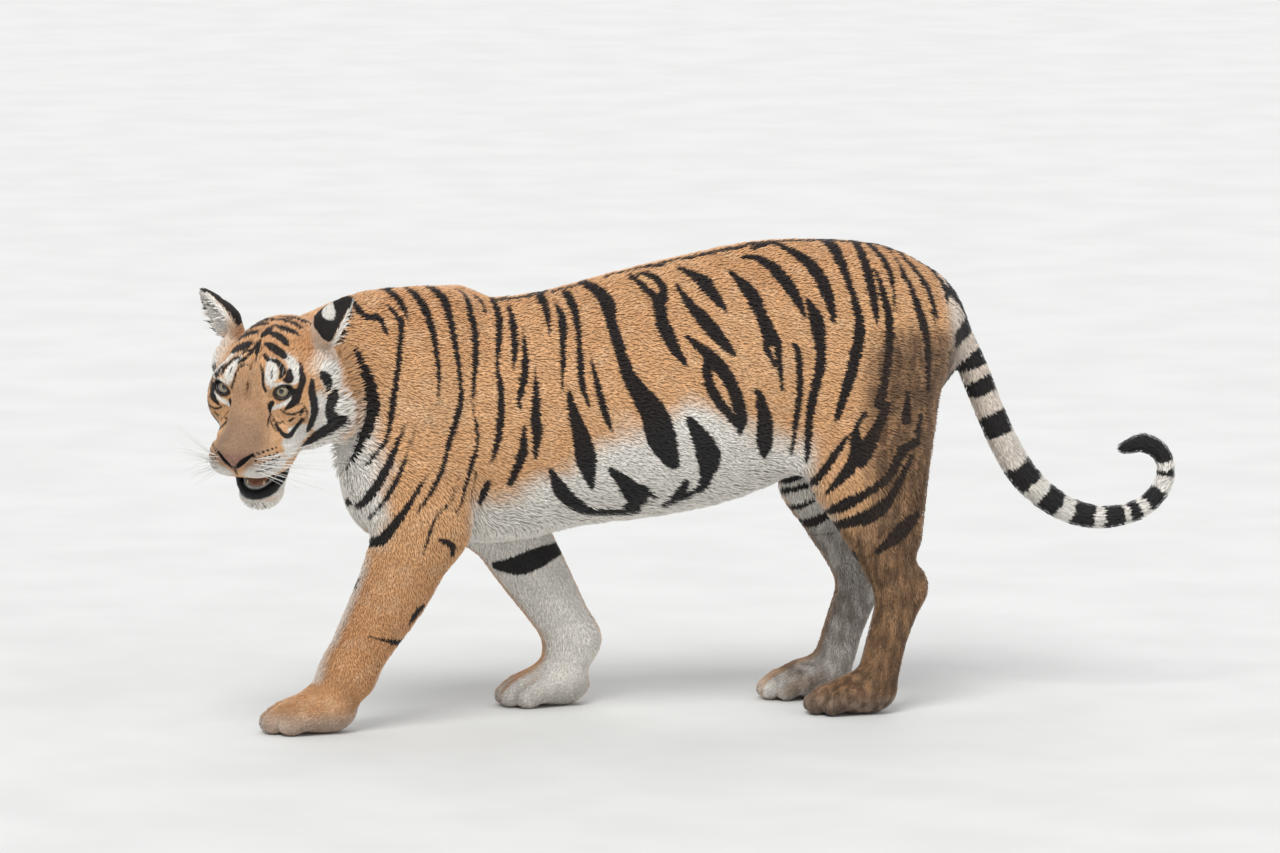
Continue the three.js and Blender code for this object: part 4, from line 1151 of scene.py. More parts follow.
# Pale patches on both sides of the head: middle and half sizes forward, to the side and up.
PALE_PATCHES = [
    ((99, 50, -119), (60, 50, 25)), ((60, 0, -236), (52, 60, 36)), ((20, 84, -108), (50, 30, 26)),
    ((-46, 120, -72), (34, 24, 46)), ((-98, 122, -112), (64, 50, 66)), ((-60, 96, -158), (70, 52, 34)),
    ((30, 30, -190), (90, 60, 40)), ((-110, 128, -20), (30, 26, 40)), ((-130, 40, -165), (95, 95, 66)),
    ((-135, 60, -235), (95, 110, 66)),
]
# Rings of the tail: along the body and height of the middle, half width along the tail.
TAIL_RINGS = [
    (668, 800, 17), (704, 735, 16), (728, 685, 18), (760, 597, 26), (822, 490, 26), (882, 432, 22),
    (950, 398, 24), (1022, 391, 22), (1066, 402, 13), (1112, 432, 20), (1133, 482, 6), (1090, 548, 62),
]
# Middles of the legs by height, for moving a mark of the left leg onto the right one.
LEG_HEIGHTS = [125, 190, 295, 384, 440, 510, 585, 700, 800]
FORE_SHIFT = [540, 474, 355, 260, 177, 105, 50, 35, 20]
HIND_SHIFT = [-43, -38, -31, -24, -20, -18, -14, -8, -5]
NO_SHIFT = [0] * len(LEG_HEIGHTS)


@dataclass
class Markings:
    """Every black and white mark as strokes laid on the form, measured as distance to the edge (mm)."""

    form: Form
    reach: float = 45.0

    def __post_init__(self) -> None:
        """Lays all strokes on the form."""
        self.black = self.black_strokes()
        self.white = self.white_strokes()
        self.tail_path = through_stations([s[:3] for s in TAIL], 12)
        self.tail_length = np.concatenate([[0.0], np.cumsum(norm(np.diff(self.tail_path, axis=0)))])
        rings = np.array(TAIL_RINGS, float)
        self.ring_at = self.from_tail(rings[:, :2] @ [[1.0, 0.0, 0.0], [0.0, 0.0, 1.0]])[2]
        self.ring_half = rings[:, 2]

    @staticmethod
    def far_side(rows: Rows, shift: Sequence[float]) -> Rows:
        """The left side's stroke for the right side: moved with the leg, and unevenly bent by sines.

        Args:
            rows: along the body, height and half width.
            shift: how far the right leg stands behind the left one, at LEG_HEIGHTS.

        Returns:
            The moved rows.
        """
        result = []
        for x, z, half in rows:
            moved = x + np.interp(z, LEG_HEIGHTS, shift)
            bend = 9 * math.sin(z / 70 + 1.3) + 6 * math.sin(x / 55)
            result.append((moved + bend, z + 7 * math.sin(x / 60 + 0.5), half))
        return result

    def black_strokes(self) -> list[Array]:
        """All black strokes as paths of x, y, z and half width."""
        groups = [
            (NECK_AND_SHOULDER + FLANK, NO_SHIFT), (FORELEG, FORE_SHIFT), (RUMP + THIGH, HIND_SHIFT),
        ]
        laid = [self.lay(rows, Seen.SIDE, LEFT) for strokes, _ in groups for rows in strokes]
        for strokes, shift in groups:
            laid += [self.lay(self.far_side(rows, shift), Seen.SIDE, RIGHT) for rows in strokes]
        for strokes, along, up, width in ((INNER_HIND, 16, 18, 1.0), (INNER_FORE, -352, 0, 0.6)):
            for rows in strokes:
                other = [(x + along, z + up, half * width) for x, z, half in rows]
                laid += [self.lay(rows, Seen.INNER, RIGHT), self.lay(other, Seen.INNER, LEFT)]
        laid += [self.lay(rows, Seen.SIDE, RIGHT) for rows in FAR_NECK]
        laid += [self.lay(rows, Seen.BACK) for rows in SPINE]
        for rows in CROWN:
            broad = [(*row[:3], row[3] * (1.5 if row[1] < -15 and row[0] < -70 else 1.0)) for row in rows]
            laid.append(self.lay(broad, Seen.HEAD))
        dots = []
        for first, last in WHISKER_ROWS:
            for share in np.linspace(0, 1, 6):
                forward, left, up = mix(np.array(first, float), np.array(last, float), share)
                dots.append([(forward, left, up, 2.8), (forward - 1, left, up, 2.8)])
        return laid + [self.lay(rows, Seen.HEAD) for rows in self.both_sides(FACE + dots)]

    @staticmethod
    def both_sides(strokes: list) -> list:
        """Strokes of the head with their mirror images."""
        return strokes + [[(f, -left, *rest) for f, left, *rest in rows] for rows in strokes]

    def white_strokes(self) -> list[Array]:
        """All white strokes, on both sides."""
        laid = [self.lay(rows, Seen.HEAD) for rows in self.both_sides(WHITE_FACE)]
        return laid + [self.lay(rows, Seen.SIDE, side) for rows in WHITE_SIDE for side in (LEFT, RIGHT)]

    def lay(self, rows: Rows, seen: Seen, side: int = LEFT) -> Array:
        """Lays a stroke on the form.

        A stroke of the head is moved onto its skin. For the others, rays run inward along the direction that
        the stroke is seen from, and the first point of a ray inside the form is where the stroke lies.

        Args:
            rows: coordinates and a half width each.
            seen: which coordinates they are.
            side: LEFT or RIGHT of the body.

        Returns:
            Rows of x, y, z and half width along the laid stroke.
        """
        path = through_stations(rows, 3)
        if seen is Seen.HEAD:
            spots = onto_surface(self.form.skin, HEAD.out(path[:, :3]), 3)
            return np.column_stack([spots, path[:, 3]])
        rays = {Seen.SIDE: (side * 260.0, 0.0), Seen.INNER: (0.0, side * 200.0), Seen.BACK: (1060.0, 760.0)}
        a, travel = np.meshgrid(path[:, 0], np.linspace(*rays[seen], 66), indexing="ij")
        b = np.broadcast_to(path[:, 1:2], a.shape)
        spots = np.stack((a, b, travel) if seen is Seen.BACK else (a, travel, b), -1)
        value = self.form.skin(spots.reshape(-1, 3)).reshape(a.shape)
        hit = value < 0
        first = np.where(hit.any(axis=1), hit.argmax(axis=1), np.abs(value).argmin(axis=1))
        half = path[:, 2] + 0.3 * np.minimum(path[:, 2], 4.0)
        return np.column_stack([spots[np.arange(len(path)), first], half])

    def distance(self, points: Array, strokes: list[Array]) -> Array:
        """Distance to the edge of the nearest stroke.

        For each span of a stroke, the distance to its nearest point less the half width there.

        Args:
            points: places (mm).
            strokes: laid strokes.

        Returns:
            Distances, negative inside a stroke and no more than the reach.
        """
        result = np.full(len(points), self.reach)
        order = np.argsort(points[:, 0])
        sorted_x = points[order, 0]
        for stroke in strokes:
            widest = stroke[:, 3].max() + self.reach
            low, high = stroke[:, :3].min(axis=0) - widest, stroke[:, :3].max(axis=0) + widest
            first, last = np.searchsorted(sorted_x, [low[0], high[0]])
            near = order[first:last]
            spot = points[near]
            keep = np.all((spot[:, 1:] > low[1:]) & (spot[:, 1:] < high[1:]), axis=1)
            near, spot = near[keep], spot[keep]
            if not len(near):
                continue
            best = result[near]
            for a, b in zip(stroke[:-1], stroke[1:]):
                span = b[:3] - a[:3]
                t = np.clip(((spot - a[:3]) @ span) / (span @ span + TINY), 0.0, 1.0)
                gap = norm(spot - a[:3] - t[:, None] * span)
                best = np.minimum(best, gap - a[3] - t * (b[3] - a[3]))
            result[near] = best
        return result

    def from_tail(self, points: Array) -> tuple[Array, Array, Array]:
        """Where points lie beside the tail, by the nearest place on its path.

        Args:
            points: places (mm).

        Returns:
            Offsets from that place, the path's direction there, and the length of tail before it.
        """
        nearest = norm(points[:, None] - self.tail_path[None]).argmin(axis=1)
        ahead = unit(np.gradient(self.tail_path, axis=0))[nearest]
        return points - self.tail_path[nearest], ahead, self.tail_length[nearest]

    def stripes(self, points: Array, normals: Array) -> Array:
        """Distance to the nearest black edge, with the tail's rings and the backs of the ears.

        Args:
            points: places (mm).
            normals: outward directions there.

        Returns:
            Distances, negative inside a black mark.
        """
        result = self.distance(points, self.black)
        on_tail = np.nonzero(points[:, 0] > 640)[0]
        if len(on_tail):
            spot = points[on_tail]
            offset, _, along = self.from_tail(spot)
            upper = (offset @ np.array([0.75, 0.0, 0.66])) / 34.0
            slack = 4.0 * np.clip(upper, -1, 1) * ease(along, 420, 260)
            rings = (np.abs(along[:, None] - self.ring_at) - self.ring_half).min(axis=1) - slack
            line = 10.0 - 26.0 * (upper - 0.45) + 60 * ease(along, 260, 420)
            result[on_tail] = np.minimum(rings, line) + 3.0 * wobble(spot, 7.0)
        for ear in EARS.values():
            own = ear.own(points)
            rise = own[:, 0]
            close = (norm(own) < 90) & (rise > -58)
            lower = ear.black_from - rise + 4.0 * wobble(points, 8.0)
            turned = 14.0 * (normals @ ear.facing) + 2.0
            back = np.maximum.reduce([14.0 * (1.0 - ear.spot(own)), lower, turned])
            tip = np.maximum(50.0 - rise + 3.0 * wobble(points, 9.0), 1.5 * own[:, 2] - 6.0)
            result = np.where(close, np.minimum(result, np.minimum(back, tip)), result)
        return result

    def whites(self, points: Array) -> Array:
        """Distance to the nearest white edge."""
        return self.distance(points, self.white)


# ------------------------------------------------------------------ where each colour and hair lies


@dataclass
class CoatPlan:
    """What the coat is at a point: marks, pale parts, mud, tone, bare skin, and the lie of the hair."""

    markings: Markings

    belly_x: tuple[float, ...] = (-380, -300, -200, -100, -50, 0, 50, 100, 150, 200, 250, 300)
    belly_z: tuple[float, ...] = (478, 500, 545, 620, 620, 650, 685, 665, 640, 610, 600, 590)

    def pale(self, points: Array, normals: Array) -> Array:
        """Share of pale hair: belly, chest, inner sides of the legs, tail, muzzle, cheeks and chin.

        Args:
            points: places (mm).
            normals: outward directions there.

        Returns:
            Shares from 0 to 1.
        """
        x, y, z = points.T
        uneven = 14 * wobble(points, 22.0) + 6 * wobble(points, 7.0, 2.0)
        border = np.interp(x, self.belly_x, self.belly_z)
        belly = ease(border + uneven - z, -45, 40)
        belly *= ease(x, -440, -400) * ease(x, 350, 300)
        belly *= np.maximum(ease(z, 380, 430), ease(np.abs(y), 130, 90) * ease(z, 330, 370))
        chest_x = np.interp(z, [400, 480, 560, 640, 760], [-600, -596, -596, -612, -636])
        chest = ease(chest_x - x + uneven, -20, 45) * ease(z, 370, 420) * ease(z, 760, 640)
        under = ease(-normals[:, 2], 0.35, 0.85) * ease(z, 380, 430) * ease(x, 520, 420)
        inward = -normals[:, 1] * np.sign(y)
        legs = ease(inward, -0.05, 0.55) * ease(z, 600, 480) * ease(np.abs(y), 40, 70)
        rim = 0.75 * ease(np.abs(normals[:, 0]), 0.72, 0.98) * ease(z, 400, 330)
        toes = 0.45 * ease(z, 60, 20)
        result = np.maximum.reduce([belly, chest, under, legs, toes, rim * ease(x, -200, -300)])
        tail = ease(x, 612, 650) * (0.72 + 0.28 * ease(x, 700, 900))
        result = np.maximum(result, tail)
        return self.pale_head(points, normals, result)

    def pale_head(self, points: Array, normals: Array, result: Array) -> Array:
        """Pale parts of the head, from soft round patches in head coordinates and the white strokes.

        Args:
            points: places (mm).
            normals: outward directions there.
            result: the shares for the body, which the neck keeps.

        Returns:
            Shares from 0 to 1.
        """
        own = HEAD.into(points)
        forward, left, up = own[:, 0], np.abs(own[:, 1]), own[:, 2]
        head = np.zeros(len(points))
        folded = np.column_stack([forward, left, up])
        for centre, half in PALE_PATCHES:
            gap = norm((folded - centre) / np.array(half, float))
            head = np.maximum(head, ease(gap + 0.12 * wobble(points, 9.0), 1.15, 0.78))
        head = np.maximum(head, ease(self.markings.whites(points), 1.6, -1.2))
        grey_crown = 0.6 * ease(left, 84, 118) * ease(up, -30, 20) * ease(forward, -60, -90)
        head = np.maximum(head, grey_crown)
        result = mix(result, head, on_head(own, 265, 215))
        for ear in EARS.values():
            offset = ear.own(points)
            close = ease(norm(offset), 84, 62) * ease(offset[:, 0], -56, -34)
            inner = ease(normals @ ear.facing, -0.3, 0.1) * ease(offset[:, 0], -60, -10)
            inner = np.maximum(0.35, np.maximum(inner, ease(ear.spot(offset), 1.3, 1.05)))
            result = mix(result, inner, close)
        return result

    def mud(self, points: Array) -> Array:
        """Share of wet, muddy hair: the hind parts up to mid thigh on the left and less on the right.

        Args:
            points: places (mm).

        Returns:
            Shares from 0 to 1.
        """
        x, y, z = points.T
        patch = ease(x, 400, 475) * ease(z + 0.35 * np.abs(x - 540), 875, 775)
        left = ease(y, 60, -20)
        uneven = 0.05 + 0.15 * wobble(points, 30.0) + 0.12 * wobble(points, 8.0)
        low = ease(z, 460, 330) * ease(x, 250, 330)
        feet = 0.55 * ease(z, 90, 20)
        place = np.maximum(patch, low)
        share = np.clip((place + uneven) * mix(0.75, 1.0, left), 0, 1) * ease(place, 0.02, 0.3)
        return share * ease(x, 700, 630) + feet * ease(x, 200, 100) * 0.6

    def tone(self, points: Array) -> Array:
        """Depth of the orange: deep along the back and on the lower forelegs, and unevenly deeper and lighter
        in broad patches.

        Args:
            points: places (mm).

        Returns:
            Numbers from -1, light, to 1, deep.
        """
        x, _, z = points.T
        back = ease(z - 0.12 * x, 760, 900) * ease(x, 660, 600)
        legs = 0.6 * ease(z, 440, 330) * ease(x, -100, -300)
        return np.clip(0.35 * back + legs + 0.22 * wobble(points, 60.0) + 0.1 * wobble(points, 17.0), -1, 1)

    def nose_tone(self, points: Array) -> Array:
        """Share of greyish brown on the top of the muzzle.

        Args:
            points: places (mm).

        Returns:
            Shares from 0 to 1.
        """
        own = HEAD.into(points)
        forward, left, up = own[:, 0], np.abs(own[:, 1]), own[:, 2]
        above = (0.6 + 0.4 * ease(forward, 20, 100)) * ease(forward, -50, 10)
        above *= ease(left - 0.35 * np.clip(forward, 0, 80), 54, 14) * ease(norm(own), 230, 190)
        return above * ease(up, -118, -92)

    def bare(self, points: Array) -> Array:
        """Share of bare leather: the nose pad, the lips, and black inside the nostrils and mouth, in part
        painted shade.

        Args:
            points: places (mm).

        Returns:
            Two columns: the nose's leather, and the black skin of nostrils, lips and lid rims and of the
                inside
            of the mouth, with painted shade deepening the nostrils and the mouth.
        """
        own = HEAD.into(points)
        forward, left, up = own[:, 0], np.abs(own[:, 1]), own[:, 2]
        width = np.interp(up, [-112, -104, -96, -88, -80, -74], [3, 8, 19, 31, 37, 36])
        pad = ease(width - left, -2.5, 1.5) * ease(up, -116, -110) * ease(up, -70, -78)
        pad *= ease(forward, 100, 112)
        details = self.markings.form.details
        # Black in the nostrils and the split lip: dark skin, with painted shade in the holes.
        holes = np.minimum.reduce([slit.distance(points) for slit in details.nose_slits])
        black = ease(holes, 1.6, 0.2)
        lip = details.lower_lip.distance(points)
        black = np.maximum(black, ease(lip, 4.5, 1.5) * ease(up, -226, -212))
        # Black over the walls inside the mouth: the dark inner edge of the lips, and painted shade deeper in.
        mouth = self.markings.form.mouth.distance(points)
        inside = ease(mouth, 9.0, 5.0) * ease(up, -128, -134)
        black = np.maximum(black, inside * ease(up, -214, -206))
        for eye in EYES.values():
            offset = eye.own(own)
            ring = np.hypot(offset[:, 1] / (eye.half_width + 4.0), offset[:, 2] / (eye.half_height + 3.5))
            near = (offset[:, 0] > -2) & (offset[:, 0] < 40)
            black = np.maximum(black, np.where(near, ease(ring, 1.08, 0.96), 0))
        near_face = ease(norm(own), 300, 270)
        return np.column_stack([pad * (1 - black), black]) * near_face[:, None]

    def lie(self, points: Array, normals: Array) -> Array:
        """Direction of the hair along the skin.

        Backwards along the trunk, down the legs, away from the nose on the head, towards the tip along tail
        and ears; blended by place and turned into the skin's own plane.

        Args:
            points: places (mm).
            normals: outward directions there.

        Returns:
            Unit vectors square to the normals.
        """
        x, y, z = points.T
        result = np.tile([1.0, 0.0, -0.22], (len(points), 1))
        neck = ease(x, -480, -700)[:, None]
        result = mix(result, np.array([0.8, 0.35, -0.5]), neck)
        belly_start = np.where(y > 60, -180.0, -420.0)
        belly = np.clip((x - belly_start) / 60, 0, 1) * ease(x, 320, 240) * ease(z, 400, 440)
        leg = (ease(z, 640, 430) * (1 - belly))[:, None]
        result = mix(result, np.array([0.18, 0.0, -1.0]), leg)
        toe = ease(z, 105, 60)[:, None]
        result = mix(result, np.array([-0.8, 0.0, -0.5]), toe)
        on_tail = np.nonzero(x > 600)[0]
        if len(on_tail):
            ahead = self.markings.from_tail(points[on_tail])[1]
            result[on_tail] = mix(result[on_tail], ahead, ease(x[on_tail], 600, 650)[:, None])
        own = HEAD.into(points)
        away = own - np.array([132.0, 0.0, -84.0])
        away[:, 2] -= 10
        radial = unit(HEAD.turn(away))
        result = mix(result, radial, on_head(own, 285, 215)[:, None])
        for ear in EARS.values():
            offset = ear.own(points)
            close = ease(norm(offset), 82, 60) * ease(offset[:, 0], -50, -25)
            hollow = ease(normals @ ear.facing, 0.0, 0.4)[:, None]
            result = mix(result, mix(ear.rise, 0.6 * ear.rise + ear.facing, hollow), close[:, None])
        result -= normals * (result * normals).sum(axis=1, keepdims=True)
        return unit(result)

    def attributes(self, points: Array, normals: Array) -> dict[str, Array]:
        """The marks and colours at points, as the finishes read them.

        Args:
            points: places (mm).
            normals: outward directions there.

        Returns:
            Three named sets of three numbers a point: "marking" holds the distance to the nearest black edge,
            the pale share and the mud; "tint" holds the tone, the muzzle's grey brown and the black skin;
            "hide" holds the nose leather and two zeros.
        """
        leather, black = self.bare(points).T
        stripes = self.markings.stripes(points, normals)
        return {
            "marking": np.column_stack([stripes, self.pale(points, normals), self.mud(points)]),
            "tint": np.column_stack([self.tone(points), self.nose_tone(points), black]),
            "hide": np.column_stack([leather, 0 * leather, 0 * leather]),
        }


# ------------------------------------------------------------------ writing meshes


@dataclass
class Workshop:
    """Puts pieces into the scene: from walking millimetres to metres in the CAD frame."""

    cad_eye: tuple[float, float, float] = (-15, 64, -7)

    def __post_init__(self) -> None:
        """Finds how far the CAD frame lies from the walking frame, by the left eye."""
        low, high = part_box("eye_left")
        middle = (np.array(low) + np.array(high)) / 2 / MM
        self.shift = middle - HEAD.out(self.cad_eye)
        self.shift[2] = 0.0

    def metres(self, points: Array) -> Array:
        """Walking millimetres as metres in the CAD frame."""
        return (points + self.shift) * MM

    def piece(
        self, name: str, points: Array, groups: list[Array], finish: Material, slot: str,
        attributes: dict[str, Array] | None = None,
    ) -> bpy.types.Object:
        """Makes a smooth piece that rides on the root.

        Args:
            name: the piece's name.
            points: its vertices (walking mm).
            groups: its faces as rows of vertex numbers, the rows of a group all of one length.
            finish: its material.
            slot: the record's slot that its finish belongs to; not used.
            attributes: sets of three numbers a point.

        Returns:
            The new object.
        """
        corners = np.concatenate([g.ravel() for g in groups]).astype(np.int32)
        sizes = np.concatenate([np.full(len(g), g.shape[1]) for g in groups])
        mesh = bpy.data.meshes.new(name)
        mesh.vertices.add(len(points))
        mesh.vertices.foreach_set("co", self.metres(points).astype(np.float32).ravel())
        mesh.loops.add(len(corners))
        mesh.loops.foreach_set("vertex_index", corners)
        mesh.polygons.add(len(sizes))
        starts = np.concatenate([[0], np.cumsum(sizes)[:-1]]).astype(np.int32)
        mesh.polygons.foreach_set("loop_start", starts)
        mesh.update(calc_edges=True)
        mesh.polygons.foreach_set("use_smooth", np.ones(len(sizes), bool))
        for key, values in (attributes or {}).items():
            layer = mesh.attributes.new(key, "FLOAT_VECTOR", "POINT")
            layer.data.foreach_set("vector", values.astype(np.float32).ravel())
        mesh.materials.append(finish)
        piece = bpy.data.objects.new(name, mesh)
        bpy.context.scene.collection.objects.link(piece)
        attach(piece, "root")
        LOG.info("%s: %d vertices, %d faces", name, len(points), len(sizes))
        return piece


def grid_faces(rows: int, columns: int) -> Array:
    """Quads of a grid of rows and columns whose columns close on themselves."""
    i, j = np.meshgrid(np.arange(rows - 1), np.arange(columns), indexing="ij")
    a, b = i * columns + j, i * columns + (j + 1) % columns
    return np.stack([a, b, b + columns, a + columns], -1).reshape(-1, 4)


def capped(rings: Array, sides: int, start: Sequence[float], end: Sequence[float]) -> Mesh:
    """Rings of points joined by quads, with a fan to one point at each end.

    Args:
        rings: the points, ring after ring.
        sides: points round a ring.
        start: the point before the first ring.
        end: the point after the last one.

    Returns:
        Vertices and groups of faces.
    """
    count = len(rings)
    j = np.arange(sides)
    k = (j + 1) % sides
    first = np.stack([np.full(sides, count), k, j], -1)
    last = np.stack([np.full(sides, count + 1), count - sides + j, count - sides + k], -1)
    return np.vstack([rings, start, end]), [grid_faces(count // sides, sides), first, last]


def tube(path: Array, radii: Array, sides: int = 8, closed: bool = False) -> Mesh:
    """A round tube along a path.

    Each ring lies square to the path, radius times cosine and sine along two directions that are carried
    along it; an open tube is closed by a fan to its end points.

    Args:
        path: places along it.
        radii: one for each place.
        sides: points round a ring.
        closed: whether the path joins its own start.

    Returns:
        Vertices and groups of faces.
    """
    ahead = np.roll(path, -1, axis=0) - np.roll(path, 1, axis=0) if closed else np.gradient(path, axis=0)
    tangent = unit(ahead)
    reference = unit(np.cross(tangent.mean(axis=0) + 0.01, [0.3, 0.5, 0.8]))
    first = unit(np.cross(tangent, unit(path - path.mean(axis=0)) if closed else reference))
    second = np.cross(tangent, first)
    angle = circle(sides)
    ring = np.cos(angle)[None, :, None] * first[:, None] + np.sin(angle)[None, :, None] * second[:, None]
    points = (path[:, None] + radii[:, None, None] * ring).reshape(-1, 3)
    if closed:
        return points, [grid_faces(len(path) + 1, sides) % len(points)]
    return capped(points, sides, path[0], path[-1])


def joined(parts: Iterable[Mesh]) -> Mesh:
    """Several meshes as one: vertices stacked and face numbers moved on.

    Args:
        parts: vertices and groups of faces of each.

    Returns:
        Vertices and groups of faces.
    """
    points, groups, count = [], {}, 0
    for vertices, faces in parts:
        points.append(vertices)
        for face in faces:
            groups.setdefault(face.shape[1], []).append(face + count)
        count += len(vertices)
    return np.vstack(points), [np.concatenate(g) for g in groups.values()]


def outward(mesh: Mesh) -> Mesh:
    """Turns a closed mesh inside out if its volume, summed from its faces, is negative.

    Args:
        mesh: vertices and groups of faces.

    Returns:
        The mesh with its faces outward.
    """
    points, groups = mesh
    volume = 0.0
    for faces in groups:
        corners = points[faces] - points.mean(axis=0)
        for i in range(1, faces.shape[1] - 1):
            volume += np.einsum("ij,ij->i", corners[:, 0], np.cross(corners[:, i], corners[:, i + 1])).sum()
    return (points, [g[:, ::-1] for g in groups]) if volume < 0 else mesh


# ------------------------------------------------------------------ finishes


def colour(red: float, green: float, blue: float) -> tuple[float, ...]:
    """A display colour as the linear colour that a shader takes: the display's curve undone."""
    shares = (red, green, blue)
    return (*(v / 12.92 if v <= 0.04045 else ((v + 0.055) / 1.055) ** 2.4 for v in shares), 1.0)


class Wiring:
    """Places and joins nodes of one tree."""

    def __init__(self, tree: bpy.types.NodeTree) -> None:
        """Remembers the tree."""
        self.tree = tree

    def feed(self, node: bpy.types.Node, inputs: dict) -> None:
        """Sets a node's inputs to values or joins them to other nodes' outputs.

        Args:
            node: the node.
            inputs: values or outputs by input name or number.
        """
        for key, value in inputs.items():
            if isinstance(value, Socket):
                self.tree.links.new(value, node.inputs[key])
            else:
                node.inputs[key].default_value = value

    def node(self, kind: str, inputs: dict | None = None, **settings: object) -> bpy.types.Node:
        """Adds a node.

        Args:
            kind: the node's type name, without its first word ShaderNode.
            inputs: values or outputs of other nodes by input name or number.
            settings: properties of the node.

        Returns:
            The node.
        """
        made = self.tree.nodes.new("ShaderNode" + kind)
        for key, value in settings.items():
            setattr(made, key, value)
        self.feed(made, inputs or {})
        return made

    def attribute(self, name: str) -> bpy.types.NodeOutputs:
        """The three numbers of an attribute of the mesh."""
        made = self.node("Attribute", attribute_name=name)
        return self.node("SeparateXYZ", {0: made.outputs["Vector"]}).outputs

    def place(self) -> Socket:
        """Object coordinates."""
        return self.node("TexCoord").outputs["Object"]

    def maths(self, operation: str, *values: object) -> Socket:
        """The output of a Math node."""
        return self.node("Math", dict(enumerate(values)), operation=operation).outputs[0]

    def blend(self, share: object, first: object, second: object) -> Socket:
        """The colour output of a Mix node."""
        return self.node("Mix", {0: share, 6: first, 7: second}, data_type="RGBA").outputs[2]

    def step(self, value: object, low: float, high: float, first: float, last: float) -> Socket:
        """A value mapped smoothly from one range to another."""
        limits = {0: value, 1: low, 2: high, 3: first, 4: last}
        return self.node("MapRange", limits, interpolation_type="SMOOTHSTEP").outputs[0]

    def noise(self, where: object, scale: float, detail: float = 2.0) -> Socket:
        """The value of a Noise node."""
        return self.node("TexNoise", {"Vector": where, "Scale": scale, "Detail": detail}).outputs[0]


@dataclass(frozen=True)
class CoatColours:
    """Colours of the coat, as seen in soft daylight."""

    orange: tuple = colour(0.87, 0.67, 0.48)
    deep: tuple = colour(0.77, 0.55, 0.37)
    light: tuple = colour(0.93, 0.79, 0.64)
    pale: tuple = colour(0.94, 0.92, 0.885)
    black: tuple = colour(0.085, 0.075, 0.085)
    mud: tuple = colour(0.30, 0.215, 0.15)
    muzzle: tuple = colour(0.58, 0.47, 0.39)
    bare: tuple = colour(0.05, 0.045, 0.05)


def coat_group(colours: CoatColours) -> bpy.types.NodeTree:
    """The coat's colour from the marks, as a shared node group.

    Orange is deepened or lightened by the tone, mixed with pale by its share, crossed by black where the
    distance to a mark's edge, broken by noise, is below nothing, dulled by mud, and scaled by each tuft's own
    tone, fine grain and painted shade that darkens the hair towards its roots and the skin under the hair.

    Args:
        colours: the coat's colours.

    Returns:
        The group, with inputs Edge, Shade and Lift and outputs Colour, Dark and Wet.
    """
    tree = bpy.data.node_groups.new("coat colour", "ShaderNodeTree")
    # Shade is each tuft's own tone; Lift darkens the hair towards its roots and the skin under the hair:
    # painted shade.
    for name, low in (("Edge", 1.2), ("Shade", 0.5), ("Lift", 1.0)):
        socket = tree.interface.new_socket(name=name, in_out="INPUT", socket_type="NodeSocketFloat")
        socket.default_value = low
    tree.interface.new_socket(name="Colour", in_out="OUTPUT", socket_type="NodeSocketColor")
    for name in ("Dark", "Wet"):
        tree.interface.new_socket(name=name, in_out="OUTPUT", socket_type="NodeSocketFloat")
    w = Wiring(tree)
    given = tree.nodes.new("NodeGroupInput").outputs
    where = w.place()
    distance, pale, mud = w.attribute("marking")
    tone, muzzle, bare = w.attribute("tint")
    rough = w.maths("SUBTRACT", w.noise(where, 190.0), 0.5)
    edge = w.maths("ADD", distance, w.maths("MULTIPLY", rough, 5.0))
    dark = w.step(edge, w.maths("MULTIPLY", given["Edge"], -1.0), given["Edge"], 1.0, 0.0)
    base = w.blend(w.step(tone, 0.0, 1.0, 0.0, 1.0), colours.orange, colours.deep)
    base = w.blend(w.step(tone, 0.0, -0.6, 0.0, 0.8), base, colours.light)
    base = w.blend(w.step(w.noise(where, 34.0, 3.0), 0.45, 0.75, 0.0, 0.35), base, colours.light)
    base = w.blend(pale, base, colours.pale)
    base = w.blend(w.maths("MULTIPLY", muzzle, 0.85), base, colours.muzzle)
    base = w.blend(w.maths("MULTIPLY", dark, 0.985), base, colours.black)
    streak = w.noise(w.node("Mapping", {"Vector": where, "Scale": (1, 1, 0.35)}).outputs[0], 60.0, 3.0)
    wet = w.maths("MULTIPLY", mud, w.step(streak, 0.3, 0.62, 0.62, 1.0))
    wet = w.maths("MULTIPLY", wet, w.step(dark, 0.0, 1.0, 1.0, 0.3))
    base = w.blend(w.maths("MULTIPLY", wet, 0.9), base, colours.mud)
    base = w.blend(bare, base, colours.bare)
    grain = w.step(w.noise(where, 210.0, 3.0), 0.32, 0.68, 0.88, 1.10)
    # The value is scaled by the tuft's own tone, by Lift, painted shade towards the roots, and by fine grain.
    lift = w.maths("MULTIPLY", w.maths("MULTIPLY", given["Shade"], given["Lift"]), grain)
    shaded = w.node("HueSaturation", {"Value": lift, "Color": base}).outputs[0]
    w.feed(tree.nodes.new("NodeGroupOutput"), {"Colour": shaded, "Dark": dark, "Wet": wet})
    return tree


def plain_material(name: str) -> tuple[Material, Wiring, bpy.types.Node]:
    """An empty node material: the material, its wiring and its Principled shader."""
    material = bpy.data.materials.new(name)
    material.use_nodes = True
    return material, Wiring(material.node_tree), material.node_tree.nodes["Principled BSDF"]


